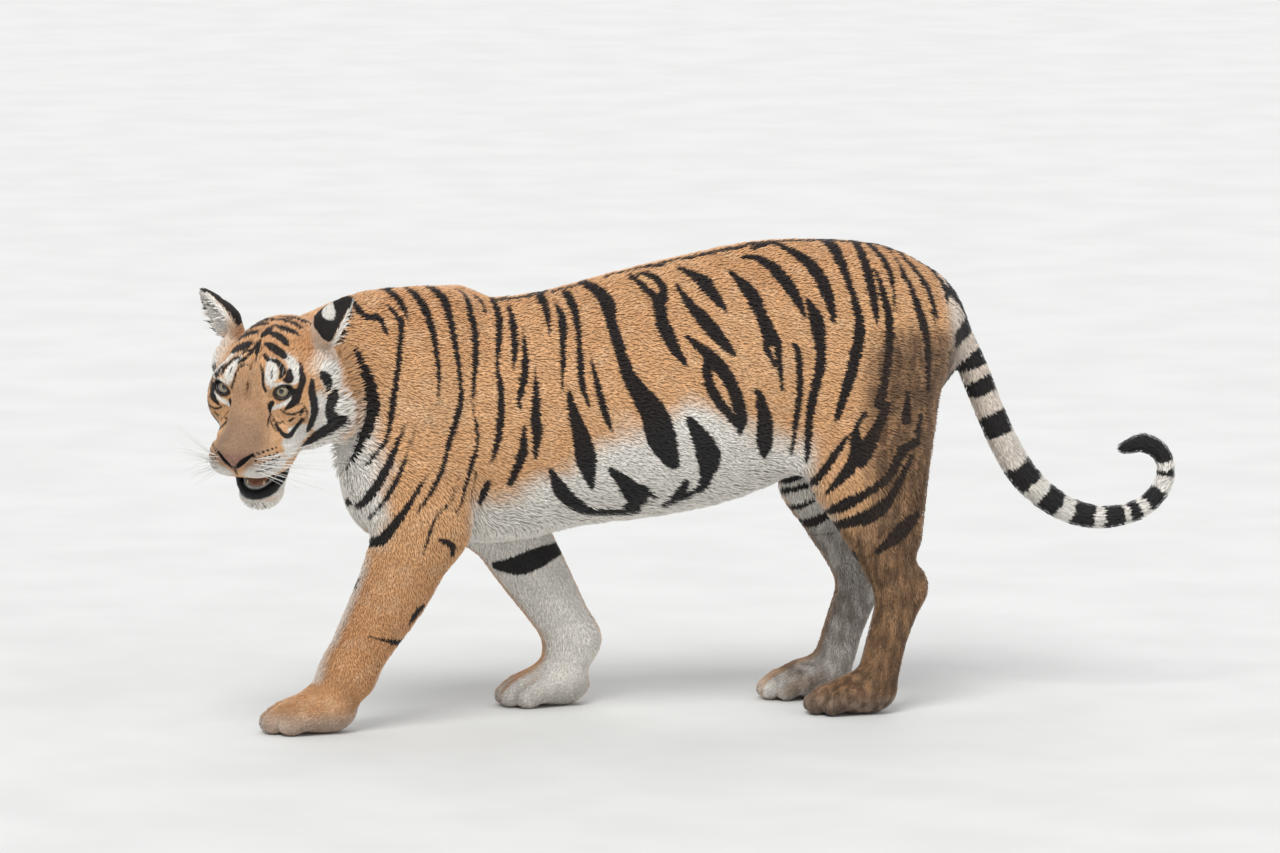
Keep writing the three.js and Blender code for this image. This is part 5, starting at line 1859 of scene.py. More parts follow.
@dataclass(frozen=True)
class HairFinish:
    """Hair: the coat's colour with a shade for each tuft, painted shade darkening it towards the root, and a
    little sheen.
    """

    group: bpy.types.NodeTree
    roughness: float = 0.72
    specular: float = 0.28
    sheen: float = 0.12

    def build(self) -> Material:
        """Makes the material."""
        material, w, shader = plain_material("coat hair")
        shade, lift, _ = w.attribute("hair")
        inputs = {
            "Edge": 1.6,
            "Shade": w.step(shade, 0.0, 1.0, 0.86, 1.12),
            # Darker towards the root of each tuft: painted shade.
            "Lift": w.step(lift, 0.0, 1.0, 0.88, 1.07),
        }
        coat = w.node("Group", inputs, node_tree=self.group).outputs
        w.feed(shader, {
            "Base Color": coat["Colour"],
            "Roughness": w.step(coat["Wet"], 0.0, 1.0, self.roughness, 0.5),
            "Specular IOR Level": self.specular,
            "Sheen Weight": self.sheen,
        })
        return material


@dataclass(frozen=True)
class SkinFinish:
    """The skin under the hair: the same colours darkened as painted shade under the hair, with nose leather
    and short-hair bump.
    """

    group: bpy.types.NodeTree
    leather: tuple = colour(0.55, 0.41, 0.35)
    roughness: float = 0.8

    def build(self) -> Material:
        """Makes the material."""
        material, w, shader = plain_material("skin and short hair")
        where = w.place()
        nose = w.attribute("hide")[0]
        black = w.attribute("tint")[2]
        fine = w.noise(where, 620.0, 3.0)
        # Darker than the hair all over, with fine noise for grain: painted shade under the hair.
        inputs = {"Edge": 1.0, "Shade": w.step(fine, 0.25, 0.75, 0.62, 1.02), "Lift": 0.95}
        coat = w.node("Group", inputs, node_tree=self.group).outputs["Colour"]
        pebble = w.node("TexVoronoi", {"Vector": where, "Scale": 900.0}).outputs["Distance"]
        mottled = w.step(w.noise(where, 130.0), 0.3, 0.7, 0.8, 1.1)
        leather = w.node("HueSaturation", {"Value": mottled, "Color": self.leather}).outputs[0]
        damp = w.maths("MAXIMUM", nose, black)
        height = w.blend(damp, fine, w.step(pebble, 0.0, 0.6, 0.3, 0.8))
        w.feed(shader, {
            "Base Color": w.blend(nose, coat, leather),
            "Roughness": w.step(damp, 0.0, 1.0, self.roughness, 0.38),
            "Normal": w.node("Bump", {"Height": height, "Distance": 0.002, "Strength": 0.7}).outputs[0],
            "Specular IOR Level": 0.3,
        })
        return material


@dataclass(frozen=True)
class WetFinish:
    """Smooth moist flesh or horn of one colour with mottling: lid rims, gums, tongue, teeth, whiskers, claws.
    """

    name: str
    base: tuple
    other: tuple
    roughness: float = 0.35
    scale: float = 160.0
    coat: float = 0.3
    bump: float = 0.0006

    def build(self) -> Material:
        """Makes the material."""
        material, w, shader = plain_material(self.name)
        where = w.place()
        mottle = w.noise(where, self.scale, 3.0)
        bump = w.node("Bump", {"Height": w.noise(where, self.scale * 4), "Distance": self.bump})
        w.feed(shader, {
            "Base Color": w.blend(w.step(mottle, 0.35, 0.68, 0.0, 1.0), self.base, self.other),
            "Roughness": w.step(mottle, 0.2, 0.8, self.roughness * 0.8, self.roughness * 1.25),
            "Normal": bump.outputs[0],
            "Coat Weight": self.coat,
            "Coat Roughness": 0.12,
        })
        return material


LID_RIM = WetFinish("lid rim", colour(0.05, 0.045, 0.05), colour(0.09, 0.07, 0.07), 0.25, coat=0.6)
MOUTH_FLESH = {
    "tongue": WetFinish("tongue flesh", colour(0.62, 0.44, 0.33), colour(0.52, 0.33, 0.27), 0.45, 240.0),
    "gum": WetFinish("gum", colour(0.14, 0.10, 0.10), colour(0.24, 0.15, 0.14), 0.3),
    "tooth": WetFinish("tooth", colour(0.86, 0.80, 0.66), colour(0.78, 0.69, 0.52), 0.3),
}
WHISKER = WetFinish("whisker", colour(0.93, 0.92, 0.90), colour(0.86, 0.85, 0.82), 0.5, coat=0.0)
HORN = WetFinish("claw horn", colour(0.55, 0.47, 0.40), colour(0.30, 0.25, 0.22), 0.35)


@dataclass(frozen=True)
class EyeFinish:
    """A glossy eyeball: black pupil, grey-olive iris with fine rays, a dark ring and a brownish white."""

    iris_out: tuple = colour(0.42, 0.37, 0.28)
    iris_in: tuple = colour(0.62, 0.56, 0.43)
    ring: tuple = colour(0.05, 0.04, 0.035)
    white: tuple = colour(0.40, 0.33, 0.28)
    ray: tuple = colour(0.25, 0.22, 0.15)
    pupil: tuple = colour(0.01, 0.01, 0.012)

    def build(self) -> Material:
        """Makes the material; attribute "iris" holds the share of the iris radius, and two places on it."""
        material, w, shader = plain_material("eyeball")
        radius, across, up = w.attribute("iris")
        angle = w.maths("ARCTAN2", across, up)
        polar = w.node("CombineXYZ", {0: w.maths("MULTIPLY", angle, 9.0), 1: radius}).outputs[0]
        rays = w.noise(polar, 2.2, 4.0)
        tone = w.blend(w.step(radius, 0.4, 0.95, 0.0, 1.0), self.iris_in, self.iris_out)
        tone = w.blend(w.step(rays, 0.35, 0.7, 0.0, 0.5), tone, self.ray)
        tone = w.blend(w.step(radius, 0.84, 0.98, 0.0, 1.0), tone, self.ring)
        tone = w.blend(w.step(radius, 1.10, 1.22, 0.0, 1.0), tone, self.white)
        tone = w.blend(w.step(radius, 0.36, 0.40, 1.0, 0.0), tone, self.pupil)
        w.feed(shader, {
            "Base Color": tone,
            "Roughness": w.step(radius, 0.9, 1.3, 0.08, 0.2),
            "Coat Weight": 1.0,
            "Coat Roughness": 0.02,
        })
        return material


# ------------------------------------------------------------------ skin and coat


@dataclass
class Skin:
    """The one closed skin of the whole body."""

    form: Form
    plan: CoatPlan
    low: tuple[float, float, float] = (-1075, -440, -12)
    high: tuple[float, float, float] = (1185, 240, 1030)

    def build(self, shop: Workshop, finish: Material, cell: float) -> None:
        """Meshes the form, marks it and puts it in place of the nodes of flesh.

        Args:
            shop: where pieces are made.
            finish: the skin's material.
            cell: size of a grid cell far from the face (mm).
        """
        grid = WarpedGrid(cell=cell)
        self.points, self.quads = grid.mesh(self.form.skin, np.array(self.low), np.array(self.high))
        self.points, self.quads = largest_body(self.points, self.quads)
        self.normals = point_normals(self.points, self.quads)
        attributes = self.plan.attributes(self.points, self.normals)
        piece = shop.piece("skin", self.points, [self.quads], finish, "orange_fur", attributes)
        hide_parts(*FLESH_NODES)


def largest_body(points: Array, quads: Array) -> tuple[Array, Array]:
    """Keeps the largest joined body of a mesh.

    Labels start as each vertex's own number and take the least label of their faces until none changes.

    Args:
        points: vertices.
        quads: faces.

    Returns:
        The vertices and faces of that body.
    """
    label = np.arange(len(points))
    for _ in range(400):
        least = label[quads].min(axis=1)
        fresh = label.copy()
        for corner in range(4):
            np.minimum.at(fresh, quads[:, corner], least)
        fresh = fresh[fresh]
        if np.array_equal(fresh, label):
            break
        label = fresh
    main = np.bincount(label).argmax()
    keep = label == main
    number = np.cumsum(keep) - 1
    return points[keep], number[quads[keep[quads[:, 0]]]]


def point_normals(points: Array, quads: Array) -> Array:
    """Outward directions: at each vertex the sum of the cross products of its faces' diagonals.

    Args:
        points: vertices.
        quads: faces.

    Returns:
        Unit vectors.
    """
    corners = points[quads]
    cross = np.cross(corners[:, 2] - corners[:, 0], corners[:, 3] - corners[:, 1])
    total = np.zeros_like(points)
    for corner in range(4):
        np.add.at(total, quads[:, corner], cross)
    return unit(total)


class Zone(Enum):
    """Parts of the skin that the coat is divided into, each with a chart of its own."""

    TRUNK = 0
    HEAD = 1
    FORELEG_LEFT = 2
    FORELEG_RIGHT = 3
    HIND_LEG_LEFT = 4
    HIND_LEG_RIGHT = 5
    TAIL = 6
    EAR_LEFT = 7
    EAR_RIGHT = 8


# Charts of the legs: corner in the atlas, how far from the middle the leg stands, heights, its middle there.
LEG_CHARTS = {
    Zone.FORELEG_LEFT: ((1.40, 0.84), 138, (66, 125, 295, 440), (-722, -680, -585, -520)),
    Zone.FORELEG_RIGHT: ((1.88, 0.84), 138, (70, 140, 295, 440), (-165, -140, -230, -325)),
    Zone.HIND_LEG_LEFT: ((1.40, 1.32), 116, (62, 264, 505, 700), (468, 519, 450, 470)),
    Zone.HIND_LEG_RIGHT: ((1.88, 1.32), 116, (62, 264, 474, 700), (425, 488, 440, 460)),
}
EAR_CHARTS = {Zone.EAR_LEFT: (EARS[LEFT], 0.05), Zone.EAR_RIGHT: (EARS[RIGHT], 0.45)}


@dataclass
class Charts:
    """An unwrap of the skin's shape by zones, in an atlas 2.4 m across."""

    markings: Markings
    atlas: float = 2.4

    def zones(self, points: Array) -> Array:
        """The zone's number of each point, from where it lies.

        Args:
            points: places (mm).

        Returns:
            One number each.
        """
        x, y, z = points.T
        zone = np.full(len(points), Zone.TRUNK.value)
        own = HEAD.into(points)
        zone[(own[:, 0] > -172) & (norm(own) <= 330)] = Zone.HEAD.value
        side = (y > 0).astype(int)
        fore = (z < 425) & (np.abs(y) > 60) & (x < 60) & (zone == Zone.TRUNK.value)
        hind = (z < 500 + (x - 330) * math.tan(math.radians(27.4))) & (x > 60) & (x < 640)
        zone[fore] = Zone.FORELEG_LEFT.value + side[fore]
        zone[hind] = Zone.HIND_LEG_LEFT.value + side[hind]
        zone[x > 640] = Zone.TAIL.value
        for place, (ear, _) in EAR_CHARTS.items():
            offset = ear.own(points)
            zone[(norm(offset) < 78) & (offset[:, 0] > -28)] = place.value
        return zone

    def places(self, points: Array, zone: Array) -> Array:
        """Places of points in the atlas.

        Trunk: length along the body and angle round it. Head: distance and angle from the nose. Legs: angle
        and height. Tail: length and angle. Ears: across and up, the hollow side beside the back.

        Args:
            points: places (mm).
            zone: their zones' numbers.

        Returns:
            Two columns between 0 and 1.
        """
        x, y, z = points.T

        def share(sine: Array, cosine: Array) -> Array:
            """The angle of two sides as a share of a whole turn, from 0 to 1."""
            return np.arctan2(sine, cosine) / ROUND + 0.5

        own = HEAD.into(points) - np.array([132.0, 0.0, -85.0])
        away = norm(own) / 1000
        angle = np.arctan2(own[:, 1], own[:, 2])
        charts = {Zone.HEAD: (1.80 + away * np.sin(angle), 0.40 + away * np.cos(angle))}
        for leg, ((u, v), stand, heights, middle) in LEG_CHARTS.items():
            turn = share(np.abs(y) - stand, x - np.interp(z, heights, middle))
            charts[leg] = (u + turn * 0.46, v + z / 660 * 0.44)
        for place, (ear, u) in EAR_CHARTS.items():
            rise, across, facing = ear.own(points).T
            charts[place] = (u + 0.06 + np.where(facing < 0, 0.12, 0.0) + across / 1000, 1.76 + rise / 1000)
        result = np.column_stack([(x + 790) / 1080, share(y, z - 660) * 1.40])
        for place, chart in charts.items():
            result = np.where((zone == place.value)[:, None], np.column_stack(chart), result)
        tail = zone == Zone.TAIL.value
        if tail.any():
            offset, ahead, along = self.markings.from_tail(points[tail])
            turn = share(offset[:, 1], (offset * np.cross(ahead, [0.0, 1.0, 0.0])).sum(axis=1))
            result[tail] = np.column_stack([0.02 + along / 1000 * 0.95, 1.46 + turn * 0.19])
        return np.clip(result / self.atlas, 0.002, 0.998)


@dataclass
class Coat:
    """The coat: tufts of five points that lie over the skin, thin, overlapping and pointed."""

    skin: Skin
    plan: CoatPlan
    tufts: int = TUFTS
    per_piece: int = 32_000
    patch: float = 0.0015

    def lengths(self, points: Array, depth: Array) -> tuple[Array, Array]:
        """Length and width of the tufts at points (mm).

        Args:
            points: places (mm).
            depth: the coat's depth there.

        Returns:
            Lengths and widths.
        """
        length = 2.05 * depth + 1.0
        for ear in EARS.values():
            offset = ear.own(points)
            hollow = ease(norm(offset), 76, 60) * ease(offset[:, 2], -6, 6)
            hollow *= ease(offset[:, 0], -38, -18) * ease(offset[:, 0], 56, 10)
            length = mix(length, 25.0, hollow)
        width = np.minimum(0.6 + 0.14 * length, 3.4)
        return length, width

    def roots(self, rng: np.random.Generator) -> tuple[Array, Array]:
        """Where the tufts stand.

        Faces get tufts by area over the tufts' own length times width, less where the skin is bare; the
        tufts are spread evenly along the running total of the faces, and at random within a face.

        Args:
            rng: the seeded source of chance.

        Returns:
            Roots on the skin and the skin's outward directions there.
        """
        points, quads = self.skin.points, self.skin.quads
        triangles = np.concatenate([quads[:, [0, 1, 2]], quads[:, [0, 2, 3]]])
        triangles = triangles[np.argsort(triangles.min(axis=1), kind="stable")]
        corners = points[triangles]
        area = norm(np.cross(corners[:, 1] - corners[:, 0], corners[:, 2] - corners[:, 0])) / 2
        middle = corners.mean(axis=1)
        length, width = self.lengths(middle, coat_depth(middle))
        bare = self.plan.bare(middle).sum(axis=1)
        weight = area / (length * width) * ease(bare, 0.6, 0.2) * ease(middle[:, 2], 3, 9)
        total = np.cumsum(weight)
        LOG.info("coat: cover %.2f of a tuft's own area", self.tufts / total[-1] * 0.5)
        spots = (np.arange(self.tufts) + rng.random(self.tufts)) / self.tufts * total[-1]
        chosen = np.searchsorted(total, spots).clip(0, len(triangles) - 1)
        share = rng.random((self.tufts, 2))
        fold = share.sum(axis=1) > 1
        share[fold] = 1 - share[fold]
        weights = np.column_stack([1 - share.sum(axis=1), share])
        root = np.einsum("ij,ijk->ik", weights, points[triangles[chosen]])
        normal = np.einsum("ij,ijk->ik", weights, self.skin.normals[triangles[chosen]])
        return root, unit(normal)

    def build(self, shop: Workshop, finish: Material) -> None:
        """Makes the coat in pieces by zone.

        A tuft has a root in the skin, a left, a right and a ridge point at two fifths of its length, and a
        tip at its end; heights over the skin follow the coat's depth.

        Args:
            shop: where pieces are made.
            finish: the hair's material.
        """
        rng = np.random.default_rng(SEED)
        root, normal = self.roots(rng)
        depth = coat_depth(root)
        length, width = self.lengths(root, depth)
        lie = self.plan.lie(root, normal)
        across = np.cross(normal, lie)
        swing = rng.normal(0.0, 0.16, len(root)) + 0.28 * wobble(root, 13.0, 0.7)
        lie = unit(lie + across * swing[:, None])
        across = np.cross(normal, lie)
        length = length * rng.uniform(0.72, 1.25, len(root))
        width = width * rng.uniform(0.8, 1.2, len(root))
        lift = depth * rng.uniform(0.55, 1.0, len(root))
        ridge = 0.42 * width

        def at(along: float, height: Array, sideways: float) -> Array:
            """A point of every tuft.

            Args:
                along: share of its length.
                height: over the skin.
                sideways: share of half its width.

            Returns:
                One point each.
            """
            return (
                root
                + lie * (along * length)[:, None]
                + normal * height[:, None]
                + across * (sideways * 0.5 * width)[:, None]
            )

        middle = 0.62 * lift
        points = np.stack([
            at(0.0, np.full(len(root), -0.6), 0.0), at(0.4, middle, 1.0), at(0.4, middle, -1.0),
            at(0.42, middle + ridge, 0.0), at(1.0, lift, 0.0),
        ], axis=1)
        crisp = np.maximum(on_head(HEAD.into(root), 290, 200), 0.35)
        low, high = (
            self.plan.attributes(root + lie * (share * length)[:, None], normal)
            for share in (0.62 - 0.42 * crisp, 0.62 + 0.28 * crisp)
        )
        rise = np.array([0.0, 0.5, 0.5, 0.5, 1.0])[None, :, None]
        shade = np.clip(0.5 + 0.2 * rng.normal(size=len(root)) + 0.18 * wobble(root, 9.0), 0, 1)
        charts = Charts(self.plan.markings)
        zone = charts.zones(root)
        place = charts.places(root, zone)
        order = np.lexsort((root[:, 0], zone))
        for number, start in enumerate(range(0, len(order), self.per_piece)):
            part = order[start : start + self.per_piece]
            sets = {
                key: mix(low[key][part][:, None], high[key][part][:, None], rise).reshape(-1, 3)
                for key in ("marking", "tint")
            }
            # The hair's second number runs from root to tip; the finish darkens it towards the root as
            # painted shade.
            along = np.tile([0.0, 0.5, 0.5, 0.6, 1.0], len(part))
            sets["hair"] = np.column_stack([np.repeat(shade[part], 5), along, np.zeros(len(along))])
            self.piece(shop, f"coat_{number + 1}", points[part], normal[part], place[part], finish, sets)

    def piece(
        self, shop: Workshop, name: str, points: Array, normal: Array, place: Array, finish: Material,
        sets: dict[str, Array],
    ) -> None:
        """Makes one piece of the coat.

        Args:
            shop: where pieces are made.
            name: its name.
            points: five points for each tuft.
            normal: the skin's directions at the roots.
            place: the roots' places in the atlas.
            finish: the hair's material.
            sets: attributes of its points.
        """
        pattern = np.array([[0, 3, 1], [0, 2, 3], [0, 1, 2], [4, 1, 3], [4, 3, 2], [4, 2, 1]])
        base = (np.arange(len(points)) * 5)[:, None, None]
        faces = (pattern[None] + base).reshape(-1, 3)
        flat = points.reshape(-1, 3)
        made = shop.piece(name, flat, [faces], finish, "orange_fur", sets)
        offsets = self.patch * np.array([[0, -1], [-0.9, 0], [0.9, 0], [0, 0.12], [0, 1]])
        spots = (place[:, None, :] + offsets[None]).reshape(-1, 2)
        layer = made.data.uv_layers.new(name="OFBake")
        layer.uv.foreach_set("vector", spots[faces.ravel()].astype(np.float32).ravel())
        corners = flat[faces]
        cross = np.cross(corners[:, 1] - corners[:, 0], corners[:, 2] - corners[:, 0])
        own = np.zeros_like(flat)
        for corner in range(3):
            np.add.at(own, faces[:, corner], cross)
        soft = unit(unit(own) * 0.35 + np.repeat(normal, 5, axis=0) * 0.65)
        made.data.normals_split_custom_set_from_vertices(soft.astype(np.float32))


# ------------------------------------------------------------------ eyes, mouth, whiskers, claws


@dataclass
class Eyes:
    """Both eyeballs and their dark moist lid rims."""

    iris_radius: float = 14.0
    bulge: float = 0.8
    rim_radius: float = 2.3

    def build(self, shop: Workshop, ball: Material, rim: Material) -> None:
        """Makes the eyeballs and rims.

        Args:
            shop: where pieces are made.
            ball: the eyeball's material.
            rim: the rims' material.
        """
        for name, seat in EYES.items():
            first = seat.gaze
            second = unit(np.cross(first, [0, 0, 1.0]))
            axes = np.stack([first, second, np.cross(first, second)])
            own, faces = self.globe()
            flat = np.hypot(own[:, 1], own[:, 2])
            share = flat * seat.radius / self.iris_radius
            share = np.where(own[:, 0] > 0, share, 3.0)
            swell = seat.radius + self.bulge * ease(share, 1.1, 0.3)
            points = HEAD.out(seat.centre + (own * swell[:, None]) @ axes)
            iris = np.column_stack([share, own[:, 1], own[:, 2]])
            made = shop.piece(f"eyeball_{name}", *outward((points, faces)), ball, "eye", {"iris": iris})
            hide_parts(f"eye_{name}")
            loop = HEAD.out(seat.rim(72, seat.radius + 1.9))
            radii = self.rim_radius * (0.85 + 0.25 * np.sin(circle(72)))
            shop.piece(f"lid_rim_{name}", *outward(tube(loop, radii, 10, closed=True)), rim, "eye")

    @staticmethod
    def globe(rows: int = 46, columns: int = 64) -> Mesh:
        """A unit ball on a grid of latitude and longitude, its poles on the first axis.

        Args:
            rows: rings between the poles.
            columns: points round a ring.

        Returns:
            Vertices and groups of faces.
        """
        polar, angle = np.meshgrid(np.linspace(0, math.pi, rows + 2)[1:-1], circle(columns), indexing="ij")
        rings = [np.cos(polar), np.sin(polar) * np.cos(angle), np.sin(polar) * np.sin(angle)]
        return capped(np.stack(rings, -1).reshape(-1, 3), columns, (1, 0, 0), (-1, 0, 0))


@dataclass
class Mouth:
    """Tongue, gums and the small teeth of the lower jaw, as far as the parted lips show them."""

    sides: int = 24
    incisors: tuple[float, ...] = (-11, -6.6, -2.2, 2.2, 6.6, 11)

    def build(self, shop: Workshop, flesh: dict[str, Material]) -> None:
        """Makes the mouth's pieces.

        Args:
            shop: where pieces are made.
            flesh: materials by name.
        """
        made = shop.piece("tongue_flesh", *self.tongue(), flesh["tongue"], "tongue")
        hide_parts("tongue")
        lower = [(20, 34, -176), (52, 30, -190), (72, 14, -198), (76, 0, -199)]
        upper = [(24, 40, -146), (58, 34, -142), (86, 18, -138), (94, 0, -137)]
        shop.piece("lower_gum", *self.gum(lower, 4.2), flesh["gum"], "tongue")
        teeth = [self.tooth((74 - abs(left) * 0.16, left, -197), 2.3, 8.0) for left in self.incisors]
        teeth += [self.tooth((67, s * 19, -196), 4.4, 21.0, back=0.1) for s in (-1, 1)]
        mesh = joined(outward((HEAD.out(points), faces)) for points, faces in teeth)
        shop.piece("lower_teeth", *mesh, flesh["tooth"], "eye")
        shop.piece("upper_gum", *self.gum(upper, 6.0), flesh["gum"], "tongue")

    def tongue(self) -> Mesh:
        """The tongue: flat ovals along its middle, dented along the top by a bell curve."""
        middle = [(-8, 0, -168, 9), (20, 0, -172, 10), (46, 0, -180, 10), (66, 0, -187, 8), (74, 0, -190, 3)]
        path = through_stations(middle, 5)
        angle = circle(self.sides)
        dent = 0.25 * np.exp(-(np.cos(angle) * 3) ** 2) * (np.sin(angle) > 0)
        rings = np.stack([
            np.repeat(path[:, :1], self.sides, axis=1),
            path[:, 3:4] * 2.4 * np.cos(angle)[None],
            path[:, 2:3] + path[:, 3:4] * (0.75 * np.sin(angle) - dent)[None],
        ], -1).reshape(-1, 3)
        points, faces = capped(rings, self.sides, path[0, :3], path[-1, :3])
        return outward((HEAD.out(points), faces))

    @staticmethod
    def gum(half: list[tuple[float, ...]], radius: float) -> Mesh:
        """A round gum along an arch, given by its left half up to the middle."""
        arch = half + [(forward, -left, up) for forward, left, up in half[-2::-1]]
        path = through_stations(arch, 5)
        return outward(tube(HEAD.out(path), np.full(len(path), radius), 10))

    @staticmethod
    def tooth(at: Sequence[float], radius: float, height: float, back: float = 0.05) -> Mesh:
        """A tapered tooth: a tube whose radius falls as the root of what is left, leaning back a little."""
        share = np.linspace(0, 1, 8)
        path = np.array(at) + np.column_stack([-back * height * share**2, 0 * share, height * (share - 0.25)])
        return tube(path, radius * np.sqrt(np.maximum(1 - share**1.6, 0.004)), 10)


@dataclass
class Whiskers:
    """White whiskers in rows on the pads, and a few over the eyes: thin tapered curves that droop."""

    per_side: int = 26
    per_row: int = 7
    over_eye: int = 4
    thickness: float = 0.8

    def build(self, shop: Workshop, form: Form, finish: Material) -> None:
        """Makes the whiskers.

        Args:
            shop: where pieces are made.
            form: the body, which the roots stand on.
            finish: their material.
        """
        rng = np.random.default_rng(SEED + 1)
        parts = []
        for side in (-1, 1):
            for number in range(self.per_side):
                row, place = divmod(number, self.per_row)
                share = place / (self.per_row - 1)
                left = 34 + 34 * share + rng.normal(0, 1.5)
                up = -88 - 8.5 * row - 6 * (share - 0.5) + rng.normal(0, 1.0)
                root = self.on_pad(form, side * left, up)
                length = rng.uniform(115, 185) * (0.65 + 0.45 * share)
                start = np.array([-0.15 - 0.5 * share, side * 0.8, 0.02 - 0.17 * row])
                start = unit(start + rng.normal(0, 0.09, 3))
                sag = np.array([-0.32, side * 0.02, -0.5]) * rng.uniform(0.4, 1.0)
                parts.append(self.whisker(root, start, sag, length, self.thickness))
            for number in range(self.over_eye):
                root = self.on_pad(form, side * (48 + 7 * number), 20 + 3 * number)
                start = unit(np.array([0.35, side * 0.35, 0.9]) + rng.normal(0, 0.12, 3))
                sag = np.array([-0.6, side * 0.2, -0.1])
                parts.append(self.whisker(root, start, sag, rng.uniform(40, 70), self.thickness / 2))
        shop.piece("whiskers", *joined(parts), finish, "pale_fur")

    @staticmethod
    def on_pad(form: Form, left: float, up: float) -> Array:
        """The point of the face's skin seen from before it, in head coordinates."""
        spots = np.array([(forward, left, up) for forward in range(160, -61, -2)], float)
        inside = form.skin(HEAD.out(spots)) < 0
        return spots[inside.argmax()]

    @staticmethod
    def whisker(root: Array, start: Array, sag: Array, length: float, radius: float) -> Mesh:
        """One whisker: start times share plus sag times its square, thinning to the tip.

        Args:
            root: where it stands, in head coordinates.
            start: its direction there.
            sag: how it bends away from it.
            length: its length.
            radius: its radius at the root.

        Returns:
            Vertices and groups of faces.
        """
        share = np.linspace(0, 1, 9)[:, None]
        path = root - start * 2 + length * (start * share + 0.45 * sag * share**2)
        points, faces = tube(HEAD.out(path), radius * (1.0 - 0.82 * share[:, 0]), 4)
        return outward((points, faces))


@dataclass
class Claws:
    """Tips of the drawn-in claws, one in each toe."""

    radius: float = 4.2
    length: float = 20.0

    def build(self, shop: Workshop, finish: Material) -> None:
        """Makes the claws of all four feet: a hooked cone before each toe.

        Args:
            shop: where pieces are made.
            finish: the horn's material.
        """
        parts = []
        share = np.linspace(0, 1, 8)
        for paw, (_, _, _, width) in PAWS.items():
            for forward, outward_by in TOES:
                tip = forward + 22 + 21 * width
                path = np.array([
                    paw_point(paw, tip - 8 + self.length * 0.55 * s, outward_by * width, 27 - 13 * s * s)
                    for s in share
                ])
                radii = self.radius * width * np.sqrt(np.maximum(1 - share**1.3, 0.003))
                parts.append(outward(tube(path, radii, 10)))
        shop.piece("claws", *joined(parts), finish, "eye")


# ------------------------------------------------------------------ floor, light and camera


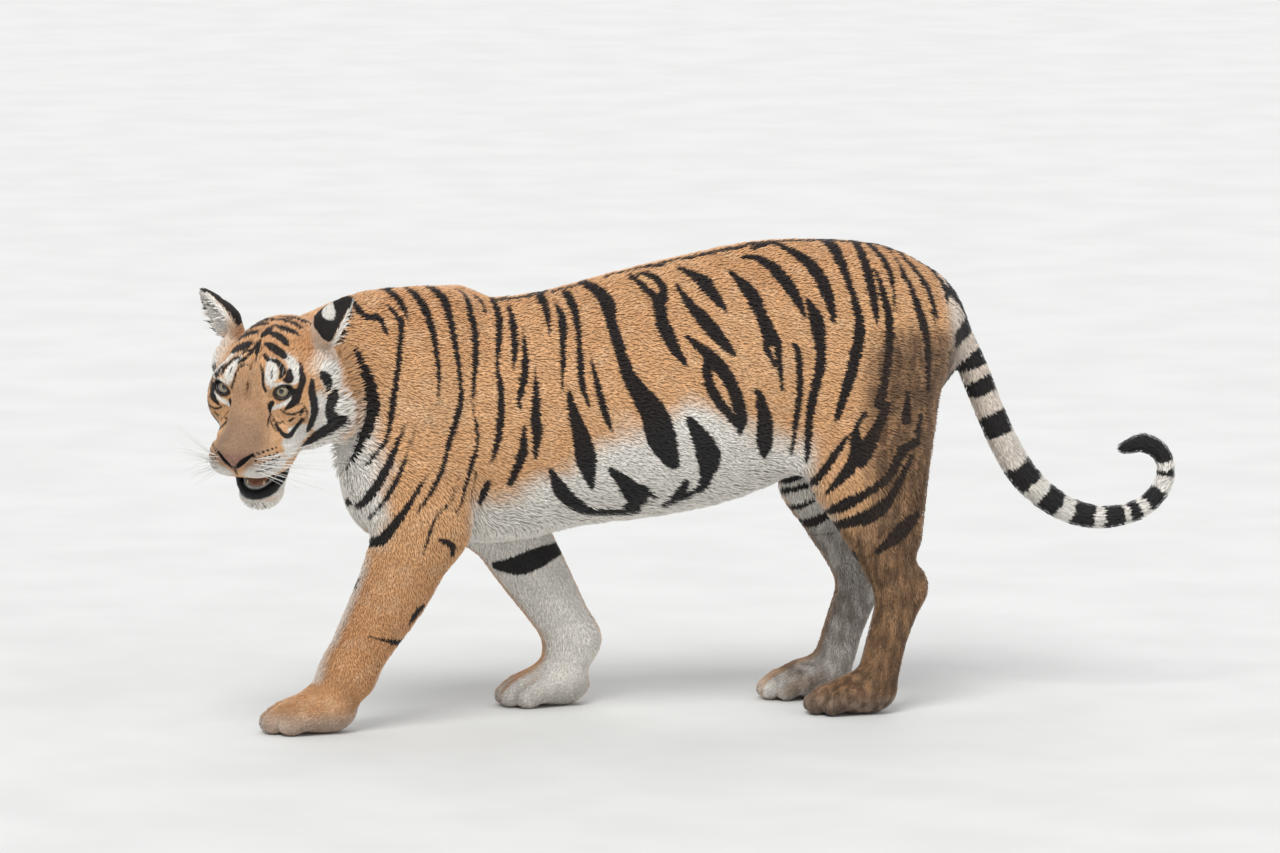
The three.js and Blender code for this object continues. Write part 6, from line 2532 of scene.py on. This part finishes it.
@dataclass(frozen=True)
class Studio:
    """A pale floor, soft light and the camera, in the walking frame's directions."""

    azimuth: float = 12.0
    elevation: float = 7.0
    distance: float = 20.0
    sensor: float = 36.0
    half_width: float = 1.357
    across: float = -0.0212
    rise: float = 0.6074
    depth: float = 0.158
    floor_radius: float = 70.0
    floor_height: float = -0.0005

    def axes(self) -> Array:
        """Rows: right, up and back of the camera."""
        turn, tilt = math.radians(self.azimuth), math.radians(self.elevation)
        right = np.array([math.cos(turn), -math.sin(turn), 0.0])
        up = np.array([
            math.sin(turn) * math.sin(tilt), math.cos(turn) * math.sin(tilt), math.cos(tilt)
        ])
        return np.stack([right, up, np.cross(right, up)])

    def build(self, shop: Workshop) -> None:
        """Makes floor, lights and camera.

        Args:
            shop: where pieces are made, for the CAD frame's shift.
        """
        self.floor()
        self.light("key", (-1.2, -2.2, 3.0), 2.0, 30.0)
        self.light("fill", (2.5, -3.0, 1.6), 0.7, 60.0)
        self.light("back", (0.6, 2.6, 2.6), 0.8, 60.0)
        world = bpy.data.worlds.new("studio")
        world.use_nodes = True
        sky = {"Color": (0.95, 0.97, 1.0, 1.0), "Strength": 0.55}
        Wiring(world.node_tree).feed(world.node_tree.nodes["Background"], sky)
        scene = bpy.context.scene
        scene.world = world
        scene.view_settings.view_transform = "Standard"
        right, up, back = axes = self.axes()
        lens = bpy.data.cameras.new("camera")
        lens.sensor_width = self.sensor
        lens.lens = self.distance * self.sensor / (2 * self.half_width)
        lens.clip_end = 300.0
        place = right * self.across + up * self.rise + back * (self.depth + self.distance)
        scene.camera = self.aimed("camera", lens, axes, place + shop.shift * MM)

    @staticmethod
    def aimed(name: str, data: bpy.types.ID, axes: Array, place: Sequence[float]) -> bpy.types.Object:
        """Puts a camera or light into the scene.

        Args:
            name: its name.
            data: the camera or light.
            axes: rows of right, up and back.
            place: where it stands, in metres.

        Returns:
            Its object.
        """
        holder = bpy.data.objects.new(name, data)
        matrix = np.eye(4)
        matrix[:3, :3] = axes.T
        matrix[:3, 3] = place
        bpy.context.scene.collection.objects.link(holder)
        holder.matrix_world = Matrix(matrix.tolist())
        return holder

    def light(self, name: str, back: Sequence[float], power: float, spread: float) -> None:
        """A broad soft light like that of a large window, the same all over the floor.

        Args:
            name: the light's name.
            back: the direction it comes from.
            power: its strength.
            spread: how wide it looks, in degrees.
        """
        lamp = bpy.data.lights.new(name, "SUN")
        lamp.angle = math.radians(spread)
        lamp.energy = power
        towards = unit(np.array(back, float))
        right = unit(np.cross([0.0, 0.0, 1.0], towards))
        self.aimed(name, lamp, np.stack([right, np.cross(towards, right), towards]), (0, 0, 0))

    def floor(self) -> None:
        """Makes a plain pale disc, a hair below the soles."""
        angle = circle(64)
        ring = np.column_stack([np.cos(angle), np.sin(angle), 0 * angle]) * self.floor_radius
        ring[:, 2] = self.floor_height
        mesh = bpy.data.meshes.new("floor")
        mesh.from_pydata(ring.tolist(), [], [list(range(len(ring)))])
        material, w, shader = plain_material("floor")
        share = w.step(w.noise(w.place(), 3.0), 0.3, 0.7, 0.0, 1.0)
        tone = w.blend(share, colour(0.83, 0.83, 0.82), colour(0.85, 0.85, 0.84))
        w.feed(shader, {"Base Color": tone, "Roughness": 0.9})
        mesh.materials.append(material)
        piece = bpy.data.objects.new("floor", mesh)
        bpy.context.scene.collection.objects.link(piece)


def main() -> None:
    """Builds the tiger and its studio."""
    logging.basicConfig(level=logging.INFO, format="%(message)s")
    shop = Workshop()
    Studio().build(shop)
    form = Form()
    plan = CoatPlan(Markings(form))
    group = coat_group(CoatColours())
    skin = Skin(form, plan)
    skin.build(shop, SkinFinish(group).build(), CELL)
    Eyes().build(shop, EyeFinish().build(), LID_RIM.build())
    Mouth().build(shop, {name: finish.build() for name, finish in MOUTH_FLESH.items()})
    Whiskers().build(shop, form, WHISKER.build())
    Claws().build(shop, HORN.build())
    Coat(skin, plan, TUFTS).build(shop, HairFinish(group).build())
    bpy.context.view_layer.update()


if __name__ == "__main__":
    main()
